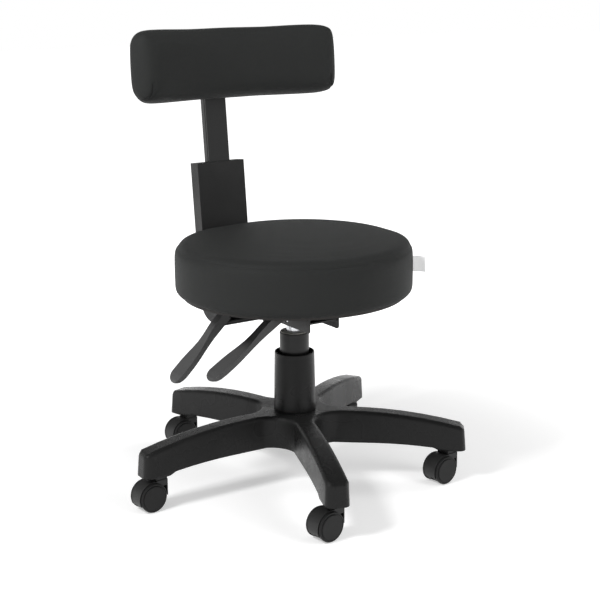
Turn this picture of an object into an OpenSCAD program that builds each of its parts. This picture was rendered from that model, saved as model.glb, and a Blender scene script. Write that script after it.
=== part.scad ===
// Working stool with a round padded seat, a small backrest on a sliding post,
// a gas lift, two hand levers and a five-legged moulded base on twin-wheel casters.
// Millimetres. Origin on the floor, on the axis of the column. +Z up, the sitter faces -Y.

/* [Casters] */
// Diameter of a caster wheel
wheel_d = 49; // [40:1:56]
// Width of a caster across both wheels
caster_w = 38; // [36:1:44]
// Width of the moulded hood along the axle
hood_w = 27; // [24:1:29]
// Wall of the hood
hood_wall = 1.6; // [1.2:0.1:2]
// How far the hood's neck stands above the hood
neck_rise = 6.5; // [4:0.5:12]
// Distance from the swivel stem to the axle
trail = 18.5; // [16:0.5:22]
// Diameter of the stem in the base
stem_d = 11; // [10:0.5:12]
// Length of the stem in the base
stem_l = 22; // [16:1:26]
// Diameter of the axle
axle_d = 6; // [5:0.5:8]
// Direction in which the casters trail
caster_heading = 186; // [0:1:359]

/* [Star base] */
// Distance from the column to the end of a leg
base_r = 294.5; // [280:0.5:320]
// Direction of the first leg
leg_turn = 33.75; // [0:0.25:71]
// Distance from the column to a caster's stem
stem_circle_r = 264; // [250:1:268]
// Width of a leg at the hub
leg_root_w = 36; // [34:1:38]
// Width of a leg at its end
leg_tip_w = 40; // [38:1:44]
// Radius of the hub between two legs
hub_r = 61; // [58:0.5:64]
// Height of the hub's top above the underside of the leg ends
base_rise = 66.9; // [64:0.1:76]
// Height of a leg's end
tip_h = 40; // [38:0.5:46]
// Height of the leg's lower edge above the underside of its end
skirt_rise = 11.5; // [10:0.5:15]
// How far that edge falls towards the end of the leg
skirt_fall = 5.5; // [2:0.5:7]
// Distance from the column to where a leg starts to curve down
leg_flat = 90; // [80:1:130]
// Side wall of a leg
leg_wall = 3.2; // [2.5:0.1:4]
// Top wall of a leg and of the hub
top_wall = 5; // [4.5:0.1:6]
// Thickness of the ribs under the base
rib_t = 2.4; // [1.8:0.1:3.2]
// Radius of the base's upper edges
edge_r = 7; // [5:0.5:8]
// Radius of the corners at a leg's end
tip_r = 11; // [9:0.5:14]
// How much narrower a leg is on each side at its top
leg_draft = 1.2; // [0.5:0.1:2]

/* [Column] */
// Outer diameter of the column tube
column_d = 50.2; // [48:0.1:52]
// Length of the tube above the hub
tube_above = 137; // [130:1:160]
// Depth of the tube in the hub
tube_below = 60; // [56:1:62]
// Wall of the tube
tube_wall = 2; // [1.5:0.1:2.5]
// Diameter of the dust sleeve at its foot
sleeve_d = 71.6; // [64:0.2:76]
// Diameter of the dust sleeve at its top
sleeve_top_d = 68.4; // [62:0.2:72]
// Height of the dust sleeve
sleeve_h = 102.5; // [80:0.5:120]
// Wall of the dust sleeve
sleeve_wall = 2; // [1.6:0.1:3]
// Diameter of the gas cylinder
gas_d = 28; // [27:0.1:29]
// Diameter of the piston rod
rod_d = 10; // [8:0.5:11]
// Travel of the seat
lift = 130; // [90:5:135]

/* [Mechanism] */
// Gap between the column tube and the housing with the seat down
mech_gap = 19.5; // [16:0.5:40]
// Height of the housing, seat plate included
housing_h = 48.5; // [47:0.5:56]
// Width of the housing
housing_w = 60; // [58:1:66]
// Length of the housing in front of the column
housing_front = 90; // [80:1:110]
// Length of the housing behind the column
housing_rear = 100; // [98:1:120]
// Thickness of the housing's steel
steel_t = 2.5; // [2:0.1:3]
// Width of the seat plate
plate_w = 160; // [150:1:180]
// Spacing of the seat bolts from side to side
bolt_span_x = 130; // [120:1:140]
// Spacing of the seat bolts from front to back
bolt_span_y = 145; // [130:1:150]
// Distance of the back pivot behind the column
pivot_y = 85; // [80:1:86]
// Diameter of the back pivot pin
pivot_d = 12; // [10:0.5:13]
// Distance of the tilt clamp's shaft behind the column
clamp_y = 45; // [42:1:48]
// Diameter of the tilt clamp's shaft
clamp_d = 10; // [8:0.5:11]

/* [Levers] */
// Width of a lever handle at its root
handle_root_w = 17; // [15:0.5:20]
// Width of a lever handle's paddle
handle_w = 35; // [28:1:38]
// Thickness of a lever handle at its root
handle_t = 16; // [15:0.5:20]
// Thickness of a lever handle at its paddle
paddle_t = 9; // [7:0.5:11]
// Length of the height lever's handle
height_handle_l = 166; // [150:1:175]
// Length of the tilt lever's handle
tilt_handle_l = 146; // [135:1:160]
// Droop of the height lever
height_droop = 31.5; // [26:0.5:36]
// Droop of the tilt lever
tilt_droop = 43; // [38:0.5:48]
// Distance of the tilt lever's bend from the housing's middle
tilt_reach = 119; // [110:1:125]

/* [Seat] */
// Diameter of the seat
seat_d = 400; // [360:1:420]
// Height of the seat cushion at its edge
seat_h = 89; // [70:1:110]
// Crown of the seat cushion
seat_crown = 5; // [0:0.5:12]
// Radius of the seat's upper edge
seat_edge_r = 24; // [14:1:30]
// Thickness of the seat board
seat_board_t = 12; // [10:0.5:18]
// Margin of the cushion round the board
board_margin = 12; // [8:1:20]
// Size of the bare tag at the seat's side
tag_h = 26; // [16:1:30]
// Length of the bare tag
tag_l = 21; // [14:1:26]

/* [Backrest] */
// Lean of the post
post_lean = 5.6; // [3:0.1:8]
// Width of the post
post_w = 42.5; // [38:0.5:44]
// Depth of the post
post_t = 17.8; // [17:0.1:18.5]
// Length of the post above its cover at rest
post_show = 122; // [110:1:135]
// Width of the post's cover
cover_w = 96; // [80:1:100]
// Depth of the post's cover
cover_t = 26; // [25.5:0.1:28]
// Length of the cover's upright part
cover_l = 247; // [220:1:260]
// Wall of the cover
cover_wall = 2; // [1.6:0.1:2.2]
// Width of the steel back bar
bar_w = 32; // [28:0.5:33]
// Thickness of the steel back bar
bar_t = 8; // [6:0.5:8.5]
// Distance of the post line behind the column at the level of the bend
bend_y = 226; // [222:1:236]
// Radius of the bar's bend
bend_r = 27; // [24:1:32]
// Width of the back pad along its curve
pad_w = 410; // [360:1:440]
// Height of the back pad
pad_h = 120; // [100:1:150]
// Thickness of the back pad
pad_t = 50; // [44:1:64]
// Radius of the back pad's curve
pad_bend_r = 620; // [500:10:900]
// Radius of the back pad's corners
pad_corner_r = 32; // [20:1:40]
// Radius of the back pad's front edges
pad_edge_r = 26; // [14:1:30]
// Lean of the back pad
pad_lean = 3.5; // [2:0.1:6]
// Gap between the post and the back pad
pad_stand_off = 37; // [30:1:42]
// Thickness of the back board
back_board_t = 8; // [6:0.5:12]

/* [Hidden] */
$fn = 96;
legs = 5;
small = 0.01;
fit = 0.05;          // radial clearance of a running fit
snug = 0.03;         // radial clearance of a pressed or fixed fit
play = 0.3;          // clearance between faces that move past each other
plastic_black = [0.13, 0.13, 0.13];
steel_black = [0.1, 0.1, 0.11];
zinc = [0.72, 0.73, 0.75];

// Heights, stacked up from the floor.
axle_z = wheel_d / 2;
hood_r = wheel_d / 2 + 1.1;
neck_z = axle_z + hood_r + neck_rise;
boss_z = neck_z + 1;
skirt_z = boss_z + skirt_rise;
hub_z = boss_z + base_rise;
tip_z = boss_z + tip_h;
tube_z = hub_z - tube_below;
tube_top_z = hub_z + tube_above;
housing_z = tube_top_z + mech_gap;
plate_z = housing_z + housing_h;
plate_t = steel_t + 0.2;
gas_top_z = plate_z - 12;

function leg_angle(k) = leg_turn + 360 / legs * (k - 1);

// Corner points of a rectangle with round corners, centred on the origin.
function round_rect(w, h, r, n = 6) = [
    for (c = [[1, 1, 0], [-1, 1, 90], [-1, -1, 180], [1, -1, 270]])
        for (i = [0:n])
            [
                c[0] * (w / 2 - r) + r * cos(c[2] + 90 * i / n),
                c[1] * (h / 2 - r) + r * sin(c[2] + 90 * i / n)
            ]
];

module ring(r_out, r_in, h) {
    difference() {
        cylinder(r = r_out, h = h);
        translate([0, 0, -1]) cylinder(r = r_in, h = h + 2);
    }
}

// A cylinder along +X from x0 to x1.
module rod_x(r, x0, x1) {
    translate([x0, 0, 0]) rotate([0, 90, 0]) cylinder(r = r, h = x1 - x0);
}

// Extrudes a drawing of the side view, given as [y, z], from x0 to x1.
module side_view(x0, x1) {
    translate([x0, 0, 0]) rotate([90, 0, 90]) linear_extrude(x1 - x0) children();
}

// Extrudes a drawing of the front view, given as [x, z], from y0 to y1.
module front_view(y0, y1) {
    translate([0, y1, 0]) rotate([90, 0, 0]) linear_extrude(y1 - y0) children();
}

// ---------------------------------------------------------------- casters

// Caster frame: stem on the Z axis, axle at x = trail, the wheels apart along Y.
module at_caster(k) {
    rotate([0, 0, leg_angle(k)])
        translate([stem_circle_r, 0, 0])
            rotate([0, 0, caster_heading - leg_angle(k)]) children();
}

module at_axle() {
    translate([trail, 0, axle_z]) rotate([-90, 0, 0]) children();
}

pin_d = stem_d - 3;
pin_l = 13;
neck_x = 10.5;
neck_y = hood_w / 2 - 1.5;
web_t = 5;
hood_low = -25;
hood_gap = 0.4;

// Side view of the hood: an arc over the wheels, run down into the neck's back wall.
module hood_side(r_out) {
    difference() {
        union() {
            translate([trail, axle_z]) circle(r = r_out);
            translate([-neck_x, axle_z - 2]) square([neck_x + trail, neck_z - axle_z + 2]);
        }
        // open below the arc's lower lip on the trailing side
        translate([trail, axle_z])
            polygon([[0, 0], 90 * [cos(hood_low), sin(hood_low)], [90, -90], [-90, -90],
                     [-90, -2], [-trail - neck_x, -2]]);
        // nothing stands higher than the arc beyond the neck
        translate([neck_x, axle_z])
            difference() {
                square([90, 90]);
                translate([trail - neck_x, 0]) circle(r = r_out);
            }
        translate([-neck_x - 1, neck_z]) square([99, 99]);
    }
}

module caster_hood(k) {
    color(plastic_black) at_caster(k) difference() {
        union() {
            front_view(-hood_w / 2, hood_w / 2) difference() {
                hood_side(hood_r);
                translate([trail, axle_z]) circle(r = hood_r - hood_wall);
                translate([-neck_x + 2, 0])
                    square([trail + neck_x - 2, axle_z + hood_r * 0.62]);
            }
            // raised lips along both edges of the hood
            for (s = [-1, 1])
                front_view(s * (hood_w / 2 - 0.8) - 0.8, s * (hood_w / 2 - 0.8) + 0.8)
                    difference() {
                        hood_side(hood_r + 0.5);
                        translate([trail, axle_z]) circle(r = hood_r - hood_wall);
                        translate([-99, 0]) square([99 + trail - hood_r * 0.8, 99]);
                    }
            // middle web with the axle boss
            front_view(-web_t / 2, web_t / 2) intersection() {
                hood_side(hood_r - 0.5);
                union() {
                    translate([trail, axle_z]) circle(r = 9);
                    translate([-neck_x + 1, axle_z]) square([99, 99]);
                }
            }
            at_axle() translate([0, 0, -web_t / 2 - 0.5]) cylinder(r = 6.5, h = web_t + 1);
        }
        // neck trimmed to its width
        for (s = [-1, 1])
            translate([-neck_x - 1, s * (neck_y + 10) - 10, axle_z + hood_r * 0.62])
                intersection() {
                    cube([2 * neck_x + 2, 20, 99]);
                    translate([0, 0, hood_r * 0.38 + 0.6]) cube(99);
                }
        translate([0, 0, neck_z - pin_l - 0.5])
            cylinder(r = pin_d / 2 + fit, h = pin_l + 2);
        at_axle() translate([0, 0, -20]) cylinder(r = axle_d / 2 + snug, h = 40);
    }
}

axle_l = caster_w - 8;

module caster_axle(k) {
    color(zinc) at_caster(k) at_axle() translate([0, 0, -axle_l / 2])
        cylinder(d = axle_d, h = axle_l);
}

// One wheel, side = 1 or -1: a cup with a rim beside the hood and ribs inside.
module caster_wheel(k, side) {
    tread_r = hood_r - hood_wall - 0.7;
    inner = web_t / 2 + 0.9;
    rim_in = hood_w / 2 + hood_gap;
    face = caster_w / 2;
    cap_r = wheel_d / 2 * 0.84;
    color(plastic_black) at_caster(k) at_axle() mirror([0, 0, side > 0 ? 0 : 1])
        difference() {
            union() {
                rotate_extrude() polygon([
                    [0, inner + 0.3], [6, inner + 0.3], [6, face - 3.4],
                    [tread_r - 2.2, face - 3.4], [tread_r - 2.2, inner], [tread_r, inner],
                    [tread_r, rim_in], [wheel_d / 2, rim_in], [wheel_d / 2, face - 2.4],
                    [wheel_d / 2 - 1, face - 1.4], [cap_r + 0.9, face - 1.4],
                    [cap_r + 0.9, face - 1.9], [cap_r, face - 1.9], [cap_r, face - 0.9],
                    [cap_r - 0.9, face], [0, face]
                ]);
                for (i = [0:5]) rotate([0, 0, 60 * i])
                    translate([5, -0.8, inner + 2])
                        cube([tread_r - 6.5, 1.6, face - 3 - inner - 2]);
            }
            translate([0, 0, -1]) cylinder(r = axle_d / 2 + fit, h = axle_l / 2 + 1 + play);
        }
}

// Stems in the leg ends: a pin for the hood to turn on, a flange and a plain shank.
module caster_stems() {
    color(zinc) for (k = [1:legs]) at_caster(k) {
        translate([0, 0, neck_z - pin_l]) cylinder(d = pin_d, h = pin_l + 1);
        translate([0, 0, neck_z + play]) cylinder(d = stem_d + 5, h = boss_z - neck_z - play);
        translate([0, 0, boss_z - small]) cylinder(d = stem_d, h = stem_l - 1);
        translate([0, 0, boss_z + stem_l - 1 - small])
            cylinder(d1 = stem_d, d2 = stem_d - 2, h = 1);
    }
}

// -------------------------------------------------------------- star base

leg_fall_r = (pow(base_r - leg_flat, 2) + pow(hub_z - tip_z, 2)) / (2 * (hub_z - tip_z));
function leg_top(x) = x <= leg_flat ? hub_z
    : hub_z - leg_fall_r + sqrt(pow(leg_fall_r, 2) - pow(x - leg_flat, 2));
function leg_half(x) =
    (leg_root_w + (leg_tip_w - leg_root_w) * (x - hub_r) / (base_r - hub_r)) / 2;
stations = [for (i = [0:6]) leg_flat + (base_r - edge_r - 3 - leg_flat) * i / 6];
boss_r = stem_d / 2 + 4;
boss_x = stem_circle_r - boss_r - 3;
step_l = 18;
seat_r = column_d / 2;
hub_bore_low = seat_r - 1.2;
hub_wall_r = seat_r + 6;

// Outer skin of one leg along +X: one hull over discs along the top edges and the round end.
module leg_skin() {
    root_x = hub_r - 20;
    hull() for (s = [-1, 1]) {
        for (x = concat([root_x], stations))
            translate([x, s * (leg_half(x) - leg_draft - edge_r), leg_top(x) - edge_r])
                rotate([0, 90, 0]) cylinder(r = edge_r, h = small, $fn = 32);
        translate([root_x, s * leg_half(root_x) - 0.5, boss_z]) cube([1, 1, 1]);
        translate([base_r - tip_r, s * (leg_half(base_r) - tip_r), boss_z])
            cylinder(r = tip_r, h = 1, $fn = 32);
        for (a = [0:30:90])
            translate([base_r - tip_r - 2 * leg_draft,
                       s * (leg_half(base_r) - tip_r - leg_draft),
                       tip_z - edge_r + edge_r * sin(a) - small])
                cylinder(r = tip_r - edge_r + edge_r * cos(a), h = small, $fn = 32);
    }
}

// Side view of what is open under a leg: a slow fall, then an S down to the end's own edge.
module leg_under() {
    fall_from = 0.55 * boss_x;
    fall_to = boss_x + 2 - step_l;
    edge_z = skirt_z - skirt_fall;
    front_view(-leg_root_w, leg_root_w) polygon(concat(
        [[0, skirt_z], [0, 0], [boss_x + 2, 0]],
        [for (i = [8:-1:1]) [fall_to + step_l * i / 8,
                             edge_z - (edge_z - boss_z + small) * (1 - cos(180 * i / 8)) / 2]],
        [for (i = [4:-1:0]) [fall_from + (fall_to - fall_from) * i / 4,
                             skirt_z - skirt_fall * pow(i / 4, 2)]]
    ));
}

module leg_space() {
    intersection() {
        front_view(-leg_root_w, leg_root_w) polygon(concat(
            [[hub_r, boss_z - 1], [base_r - leg_wall, boss_z - 1],
             [base_r - leg_wall, leg_top(base_r) - top_wall - 2]],
            [for (i = [6:-1:0]) [stations[i] - leg_wall, leg_top(stations[i]) - top_wall]],
            [[hub_r, hub_z - top_wall]]
        ));
        translate([0, 0, boss_z - 1]) linear_extrude(base_rise + 5) {
            end_half = leg_half(base_r) - leg_draft - leg_wall;
            polygon([
                [hub_r - 4, leg_half(hub_r) - leg_draft - leg_wall],
                [base_r - leg_wall - tip_r, end_half],
                [base_r - leg_wall - 2 * leg_draft, end_half - tip_r],
                [base_r - leg_wall - 2 * leg_draft, tip_r - end_half],
                [base_r - leg_wall - tip_r, -end_half],
                [hub_r - 4, leg_wall + leg_draft - leg_half(hub_r)]
            ]);
        }
    }
}

// What stands in that space: one long rib, cross ribs and the stem's boss.
module leg_ribs() {
    rib_z = skirt_z + 5;
    translate([hub_r - 1, -rib_t / 2, rib_z]) cube([stem_circle_r - hub_r, rib_t, base_rise]);
    for (i = [1:4])
        translate([hub_r + (boss_x - hub_r) * i / 5, -leg_root_w / 2, rib_z])
            cube([rib_t, leg_root_w, base_rise]);
    translate([stem_circle_r - rib_t / 2, -leg_root_w / 2, boss_z + 4])
        cube([rib_t, leg_root_w, base_rise]);
    translate([stem_circle_r, 0, boss_z - 1]) cylinder(r = boss_r, h = base_rise);
}

// Hub between the legs: a plate with a concave wall from each leg to the next, hollow below.
module hub_webs() {
    turn = 180 / legs;
    side = leg_root_w / 2 - 0.6;
    web_r = (hub_r * sin(turn) - side) / (1 - sin(turn));
    web_x = hub_r + web_r;
    reach = web_x * cos(turn);
    foot_z = skirt_z + 0.8;
    turned_r = edge_r + 0.4;
    turned_to = 75;
    difference() {
        translate([0, 0, foot_z]) linear_extrude(hub_z - foot_z) polygon([
            for (k = [1:legs]) for (s = [-side, side])
                [reach * cos(leg_angle(k)) - s * sin(leg_angle(k)),
                 reach * sin(leg_angle(k)) + s * cos(leg_angle(k))]
        ]);
        // round walls, with their upper edge turned over
        for (k = [1:legs]) rotate([0, 0, leg_angle(k + 0.5)]) translate([web_x, 0, 0])
            rotate_extrude() polygon(concat(
                [[0, skirt_z - 1], [web_r + leg_draft / 2, skirt_z - 1]],
                [for (a = [0:15:turned_to]) [web_r + leg_draft + turned_r * (1 - cos(a)),
                                  hub_z - turned_r * (sin(turned_to) - sin(a))]],
                [[web_r + leg_draft + turned_r * (1 - cos(turned_to)), hub_z + 1],
                 [0, hub_z + 1]]
            ));
        // space inside
        difference() {
            translate([0, 0, skirt_z - 1])
                cylinder(r = reach, h = hub_z - top_wall - skirt_z);
            for (k = [1:legs]) rotate([0, 0, leg_angle(k + 0.5)]) translate([web_x, 0, 0])
                cylinder(r = web_r + leg_wall + leg_draft, h = hub_z);
        }
    }
}

module star_base() {
    color(plastic_black) difference() {
        union() {
            for (k = [1:legs]) rotate([0, 0, leg_angle(k)]) difference() {
                leg_skin();
                leg_under();
                difference() {
                    leg_space();
                    leg_ribs();
                }
                translate([stem_circle_r, 0, boss_z - 1])
                    cylinder(r = stem_d / 2 + snug, h = stem_l + 2);
                cylinder(r = hub_r - leg_wall, h = hub_z - top_wall);
            }
            hub_webs();
            translate([0, 0, tube_z - 3]) cylinder(r = hub_wall_r, h = tube_below);
            // radial ribs of the hub, in line with each leg's ribs and side walls
            for (k = [1:legs]) rotate([0, 0, leg_angle(k)])
                for (y = [-leg_half(hub_r) + leg_wall / 2, 0, leg_half(hub_r) - leg_wall / 2])
                    translate([hub_wall_r * 0.7, y - rib_t / 2, skirt_z + 2])
                        cube([hub_r - 2 - hub_wall_r * 0.7, rib_t, hub_z - skirt_z - 4]);
        }
        bore_slope = (seat_r - hub_bore_low) / tube_below;
        translate([0, 0, tube_z - 4])
            cylinder(r1 = hub_bore_low + snug - 4 * bore_slope,
                     r2 = seat_r + snug + 2 * bore_slope, h = tube_below + 6);
    }
}

// ----------------------------------------------------------------- column

bore_r = seat_r - tube_wall;
gas_r = gas_d / 2;
rod_r = rod_d / 2;
floor_t = 3;
bearing_t = 6;
buffer_h = 10;
washer_z = tube_z + floor_t;
bearing_z = washer_z + play;
buffer_z = bearing_z + bearing_t;
gas_z = buffer_z + buffer_h + play;
guide_l = 12;
piston_h = 8;
rod_top_z = gas_z + lift + guide_l + 2 + piston_h;
bush_l = 72;
taper_l = gas_top_z - housing_z - 2;
taper_top_r = gas_r - taper_l / 38;

module column_tube() {
    taper_h = tube_below;
    color(steel_black) difference() {
        union() {
            translate([0, 0, tube_z])
                cylinder(r1 = hub_bore_low, r2 = seat_r, h = taper_h);
            translate([0, 0, hub_z - small])
                cylinder(r = seat_r, h = tube_above + small - 1);
            translate([0, 0, tube_top_z - 1 - small])
                cylinder(r1 = seat_r, r2 = seat_r - 0.8, h = 1 + small);
        }
        translate([0, 0, washer_z])
            cylinder(r1 = hub_bore_low - tube_wall, r2 = bore_r, h = hub_z - washer_z);
        translate([0, 0, hub_z - small]) cylinder(r = bore_r, h = tube_above + 2);
        translate([0, 0, tube_z - 1]) cylinder(r = rod_r + fit, h = floor_t + 2);
    }
}

module dust_sleeve() {
    foot_r = sleeve_d / 2;
    top_r = sleeve_top_d / 2;
    rim_r = 0.75 * sleeve_wall;
    color(plastic_black) rotate_extrude() polygon(concat(
        [[seat_r + play, hub_z], [foot_r - 0.6, hub_z], [foot_r, hub_z + 0.6]],
        [for (a = [0:15:90]) [top_r - rim_r * (1 - cos(a)),
                              hub_z + sleeve_h - rim_r * (1 - sin(a))]],
        [[top_r - sleeve_wall, hub_z + sleeve_h - 0.3],
         [foot_r - sleeve_wall, hub_z + 6], [seat_r + 2.5, hub_z + 4.5],
         [seat_r + 2.5, hub_z + 12], [seat_r + play, hub_z + 12]]
    ));
}

module guide_bush() {
    color(plastic_black) difference() {
        union() {
            translate([0, 0, tube_top_z - bush_l]) cylinder(r = bore_r - snug, h = bush_l);
            translate([0, 0, tube_top_z]) cylinder(r1 = seat_r - 1.2, r2 = seat_r - 2, h = 1.4);
        }
        translate([0, 0, tube_top_z - bush_l - 1]) cylinder(r = gas_r + fit, h = bush_l + 4);
    }
}

module piston_rod() {
    color("silver") difference() {
        union() {
            translate([0, 0, tube_z - 5]) cylinder(r = rod_r, h = rod_top_z - tube_z + 5);
            translate([0, 0, tube_z - 6]) cylinder(r1 = rod_r - 1, r2 = rod_r, h = 1 + small);
        }
        translate([0, 0, tube_z - 2]) ring(rod_r + 2, rod_r - 0.8, 1.2);
    }
}

// Spring clip in the rod's groove under the tube's floor.
module retaining_clip() {
    color(zinc) translate([0, 0, tube_z - 1.9]) difference() {
        ring(rod_r + 4, rod_r - 0.8 + snug, 1);
        translate([0, -1.5, -1]) cube([rod_r + 6, 3, 3]);
    }
}

// Thrust bearing: balls in a cage between two washers, under the turning rod's buffer.
module thrust_bearing() {
    ball_r = 1.75;
    color(zinc) translate([0, 0, bearing_z]) {
        for (z = [0, bearing_t - 1.2]) translate([0, 0, z]) ring(rod_r + 6.8, rod_r + snug, 1.2);
        translate([0, 0, bearing_t / 2 - 0.7]) ring(rod_r + 6.4, rod_r + snug, 1.4);
        for (i = [0:9]) rotate([0, 0, 36 * i])
            translate([rod_r + 3.8, 0, bearing_t / 2]) sphere(r = ball_r + 0.06, $fn = 24);
    }
}

module rubber_buffer() {
    color("dimgray") translate([0, 0, buffer_z]) rotate_extrude() polygon([
        [rod_r + snug, 0], [rod_r + 7, 0], [rod_r + 7, buffer_h - 4],
        [rod_r + 5, buffer_h], [rod_r + snug, buffer_h]
    ]);
}

module piston_head() {
    color("gold") translate([0, 0, rod_top_z]) difference() {
        cylinder(r = gas_r - 2 - play, h = piston_h);
        translate([0, 0, piston_h / 2 - 1]) ring(gas_r, gas_r - 3.8, 2);
        for (i = [0:2]) rotate([0, 0, 120 * i]) translate([gas_r - 7.5, 0, -1])
            cylinder(r = 1, h = piston_h + 2, $fn = 24);
    }
}

module gas_cylinder() {
    color("silver") difference() {
        union() {
            translate([0, 0, gas_z]) cylinder(r = gas_r, h = housing_z + 2 - gas_z);
            translate([0, 0, housing_z + 2 - small])
                cylinder(r1 = gas_r, r2 = taper_top_r, h = taper_l + small);
        }
        translate([0, 0, gas_z + 1]) cylinder(r = gas_r - 2, h = housing_z + 12 - gas_z);
        translate([0, 0, gas_z - 1]) cylinder(r = gas_r - 5, h = 4);
        translate([0, 0, gas_top_z - 18]) cylinder(r = button_r + fit, h = 20);
    }
}

module rod_guide() {
    color(plastic_black) translate([0, 0, gas_z + 1])
        difference() {
            ring(gas_r - 2 - snug, rod_r + fit, guide_l);
            translate([0, 0, 4]) ring(gas_r, gas_r - 4, 2.5);
        }
}

// -------------------------------------------------------------- mechanism

button_r = 4;
button_up = 5;
web_z = housing_z + 14.5;
clamp_z = housing_z + 3.5;
pivot_z = housing_z + 18.5;
socket_r = gas_r + 3;
half_w = housing_w / 2;
lever_y = -22.5;
lever_x = -22;
lever_z = housing_z + 24.5;
arm_t = 5;
pin_r = 2.5;
clamp_r = clamp_d / 2;
cheek_x = half_w - steel_t - 5.5;
cheek_t = 2.5;

module seat_bolt_places() {
    for (x = [-1, 1], y = [-1, 1])
        translate([x * bolt_span_x / 2, y * bolt_span_y / 2 + 2.5, 0]) children();
}

module wall_side() {
    difference() {
        union() {
            polygon([
                [-housing_front, housing_z + 3], [-housing_front + 3, housing_z],
                [housing_rear - 8, housing_z], [housing_rear, housing_z + 8],
                [housing_rear, plate_z - plate_t + small], [-housing_front, plate_z - plate_t + small]
            ]);
            translate([clamp_y, clamp_z]) circle(r = clamp_r + 6);
        }
        translate([clamp_y, clamp_z]) circle(r = clamp_r + fit);
        translate([pivot_y, pivot_z]) circle(r = pivot_d / 2 + snug);
        translate([-62, web_z + 14]) circle(r = 8);
    }
}

module mechanism_housing() {
    color(steel_black) difference() {
        union() {
            translate([0, 2.5, plate_z - plate_t]) linear_extrude(plate_t)
                polygon(round_rect(plate_w, bolt_span_y + 40, 14));
            side_view(-half_w, -half_w + steel_t) wall_side();
            side_view(half_w - steel_t, half_w) wall_side();
            translate([-half_w + small, -housing_front + 2, web_z])
                cube([housing_w - 2 * small, housing_front + 24, steel_t]);
            // ears for the height lever's pin, standing on the web
            for (s = [-1, 1])
                translate([lever_x - 6, lever_y + s * (arm_t / 2 + 0.5 + 1) - 1, web_z])
                    cube([12, 2, lever_z - web_z + 6]);
            // front edge of the seat plate turned down between the walls
            translate([-half_w + small, -housing_front + 2, plate_z - plate_t - 8])
                cube([housing_w - 2 * small, steel_t, 9]);
        }
        seat_bolt_places() translate([0, 0, plate_z - plate_t - 1]) cylinder(r = 3.3, h = 6);
        translate([0, 0, web_z - 1]) cylinder(r = socket_r + snug, h = steel_t + 2);
        // window for the height lever in the left wall, tall enough for its travel
        translate([-half_w - 1, lever_y - arm_t / 2 - 1.5, web_z - 9])
            cube([steel_t + 2, arm_t + 3, lever_z + 11 - web_z + 9]);
        translate([lever_x, lever_y - 6, lever_z]) rotate([-90, 0, 0])
            cylinder(r = pin_r + snug, h = 12);
        translate([-half_w + steel_t + 1, lever_y - arm_t / 2 - 0.5, web_z - 1])
            cube([-lever_x + 1, arm_t + 1, steel_t + 2]);
    }
}

module taper_socket() {
    h = gas_top_z - 1 - housing_z - 3;
    slope = (gas_r - taper_top_r) / taper_l;
    color(steel_black) translate([0, 0, housing_z + 3]) difference() {
        cylinder(r = socket_r, h = h);
        translate([0, 0, -1])
            cylinder(r1 = gas_r + snug, r2 = gas_r + snug - slope * (h + 2), h = h + 2);
    }
}

module lever_pin() {
    color(zinc) translate([lever_x, lever_y - arm_t / 2 - 3, lever_z]) rotate([-90, 0, 0])
        cylinder(r = pin_r, h = arm_t + 6);
}

module back_pivot_pin() {
    color(zinc) translate([0, pivot_y, pivot_z]) difference() {
        rod_x(pivot_d / 2, -half_w - 4, half_w + 4);
        for (s = [-1, 1]) translate([s * (half_w + 1.3), 0, 0]) rotate([0, 90, 0])
            translate([0, 0, -0.6]) ring(pivot_d, pivot_d / 2 - 0.8, 1.2);
    }
}

module pin_clips() {
    color(zinc) translate([0, pivot_y, pivot_z]) for (s = [-1, 1])
        translate([s * (half_w + 1.3), 0, 0]) rotate([0, 90, 0]) translate([0, 0, -0.5])
            difference() {
                ring(pivot_d / 2 + 3, pivot_d / 2 - 0.8 + snug, 1);
                translate([0, -2, -1]) cube([pivot_d, 4, 3]);
            }
}

module friction_discs() {
    color("dimgray") translate([0, clamp_y, clamp_z]) for (s = [-1, 1])
        translate([s * (cheek_x + cheek_t + 1.5), 0, 0]) rotate([0, 90, 0])
            translate([0, 0, -1.2]) ring(clamp_r + 5, clamp_r + play, 2.4);
}

module clamp_nut() {
    color(zinc) translate([half_w + play, clamp_y, clamp_z]) rotate([0, 90, 0])
        difference() {
            cylinder(r = clamp_r + 3.6, h = 7, $fn = 6);
            translate([0, 0, -1]) cylinder(r = clamp_r + fit, h = 9);
        }
}

module valve_button() {
    color(zinc) {
        translate([0, 0, gas_top_z - 12]) cylinder(r = button_r, h = 11 + button_up);
        translate([0, 0, gas_top_z - 1 + button_up])
            cylinder(r1 = button_r, r2 = 1.8, h = 1);
    }
}

// Half width and thickness of a handle at t from 0 (root) to 1 (end).
function ease(t, t0, t1) = (1 - cos(180 * min(1, max(0, (t - t0) / (t1 - t0))))) / 2;
function handle_half(t) = (handle_root_w + (handle_w - handle_root_w) * ease(t, 0.3, 0.88)) / 2;
function handle_thick(t) = handle_t - (handle_t - paddle_t) * ease(t, 0.12, 0.6);

// Handle along -X: a teardrop in plan, its underside straight on z = 0.
module handle(l) {
    round_at = l - handle_w / 2;
    outline = concat(
        [for (i = [0:12]) [-round_at * i / 12, handle_half(i / 12)]],
        [for (i = [1:11]) [-round_at - handle_w / 2 * sin(15 * i), handle_w / 2 * cos(15 * i)]],
        [for (i = [12:-1:0]) [-round_at * i / 12, -handle_half(i / 12)]]
    );
    intersection() {
        translate([0, 0, -1]) linear_extrude(handle_t + 2) polygon(outline);
        front_view(-handle_w, handle_w) polygon(concat(
            [for (i = [0:10]) [-l * 0.9 * i / 10, handle_thick(i / 10)]],
            [[-l * 0.97, paddle_t - 1.5], [-l, paddle_t - 3.5], [-l, 3.5], [-l * 0.96, 1],
             [-l * 0.85, 0], [0, 0]]
        ));
    }
}

// Root of the height lever's handle, on its underside.
height_root = [-half_w - 8, web_z - 1];

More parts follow.
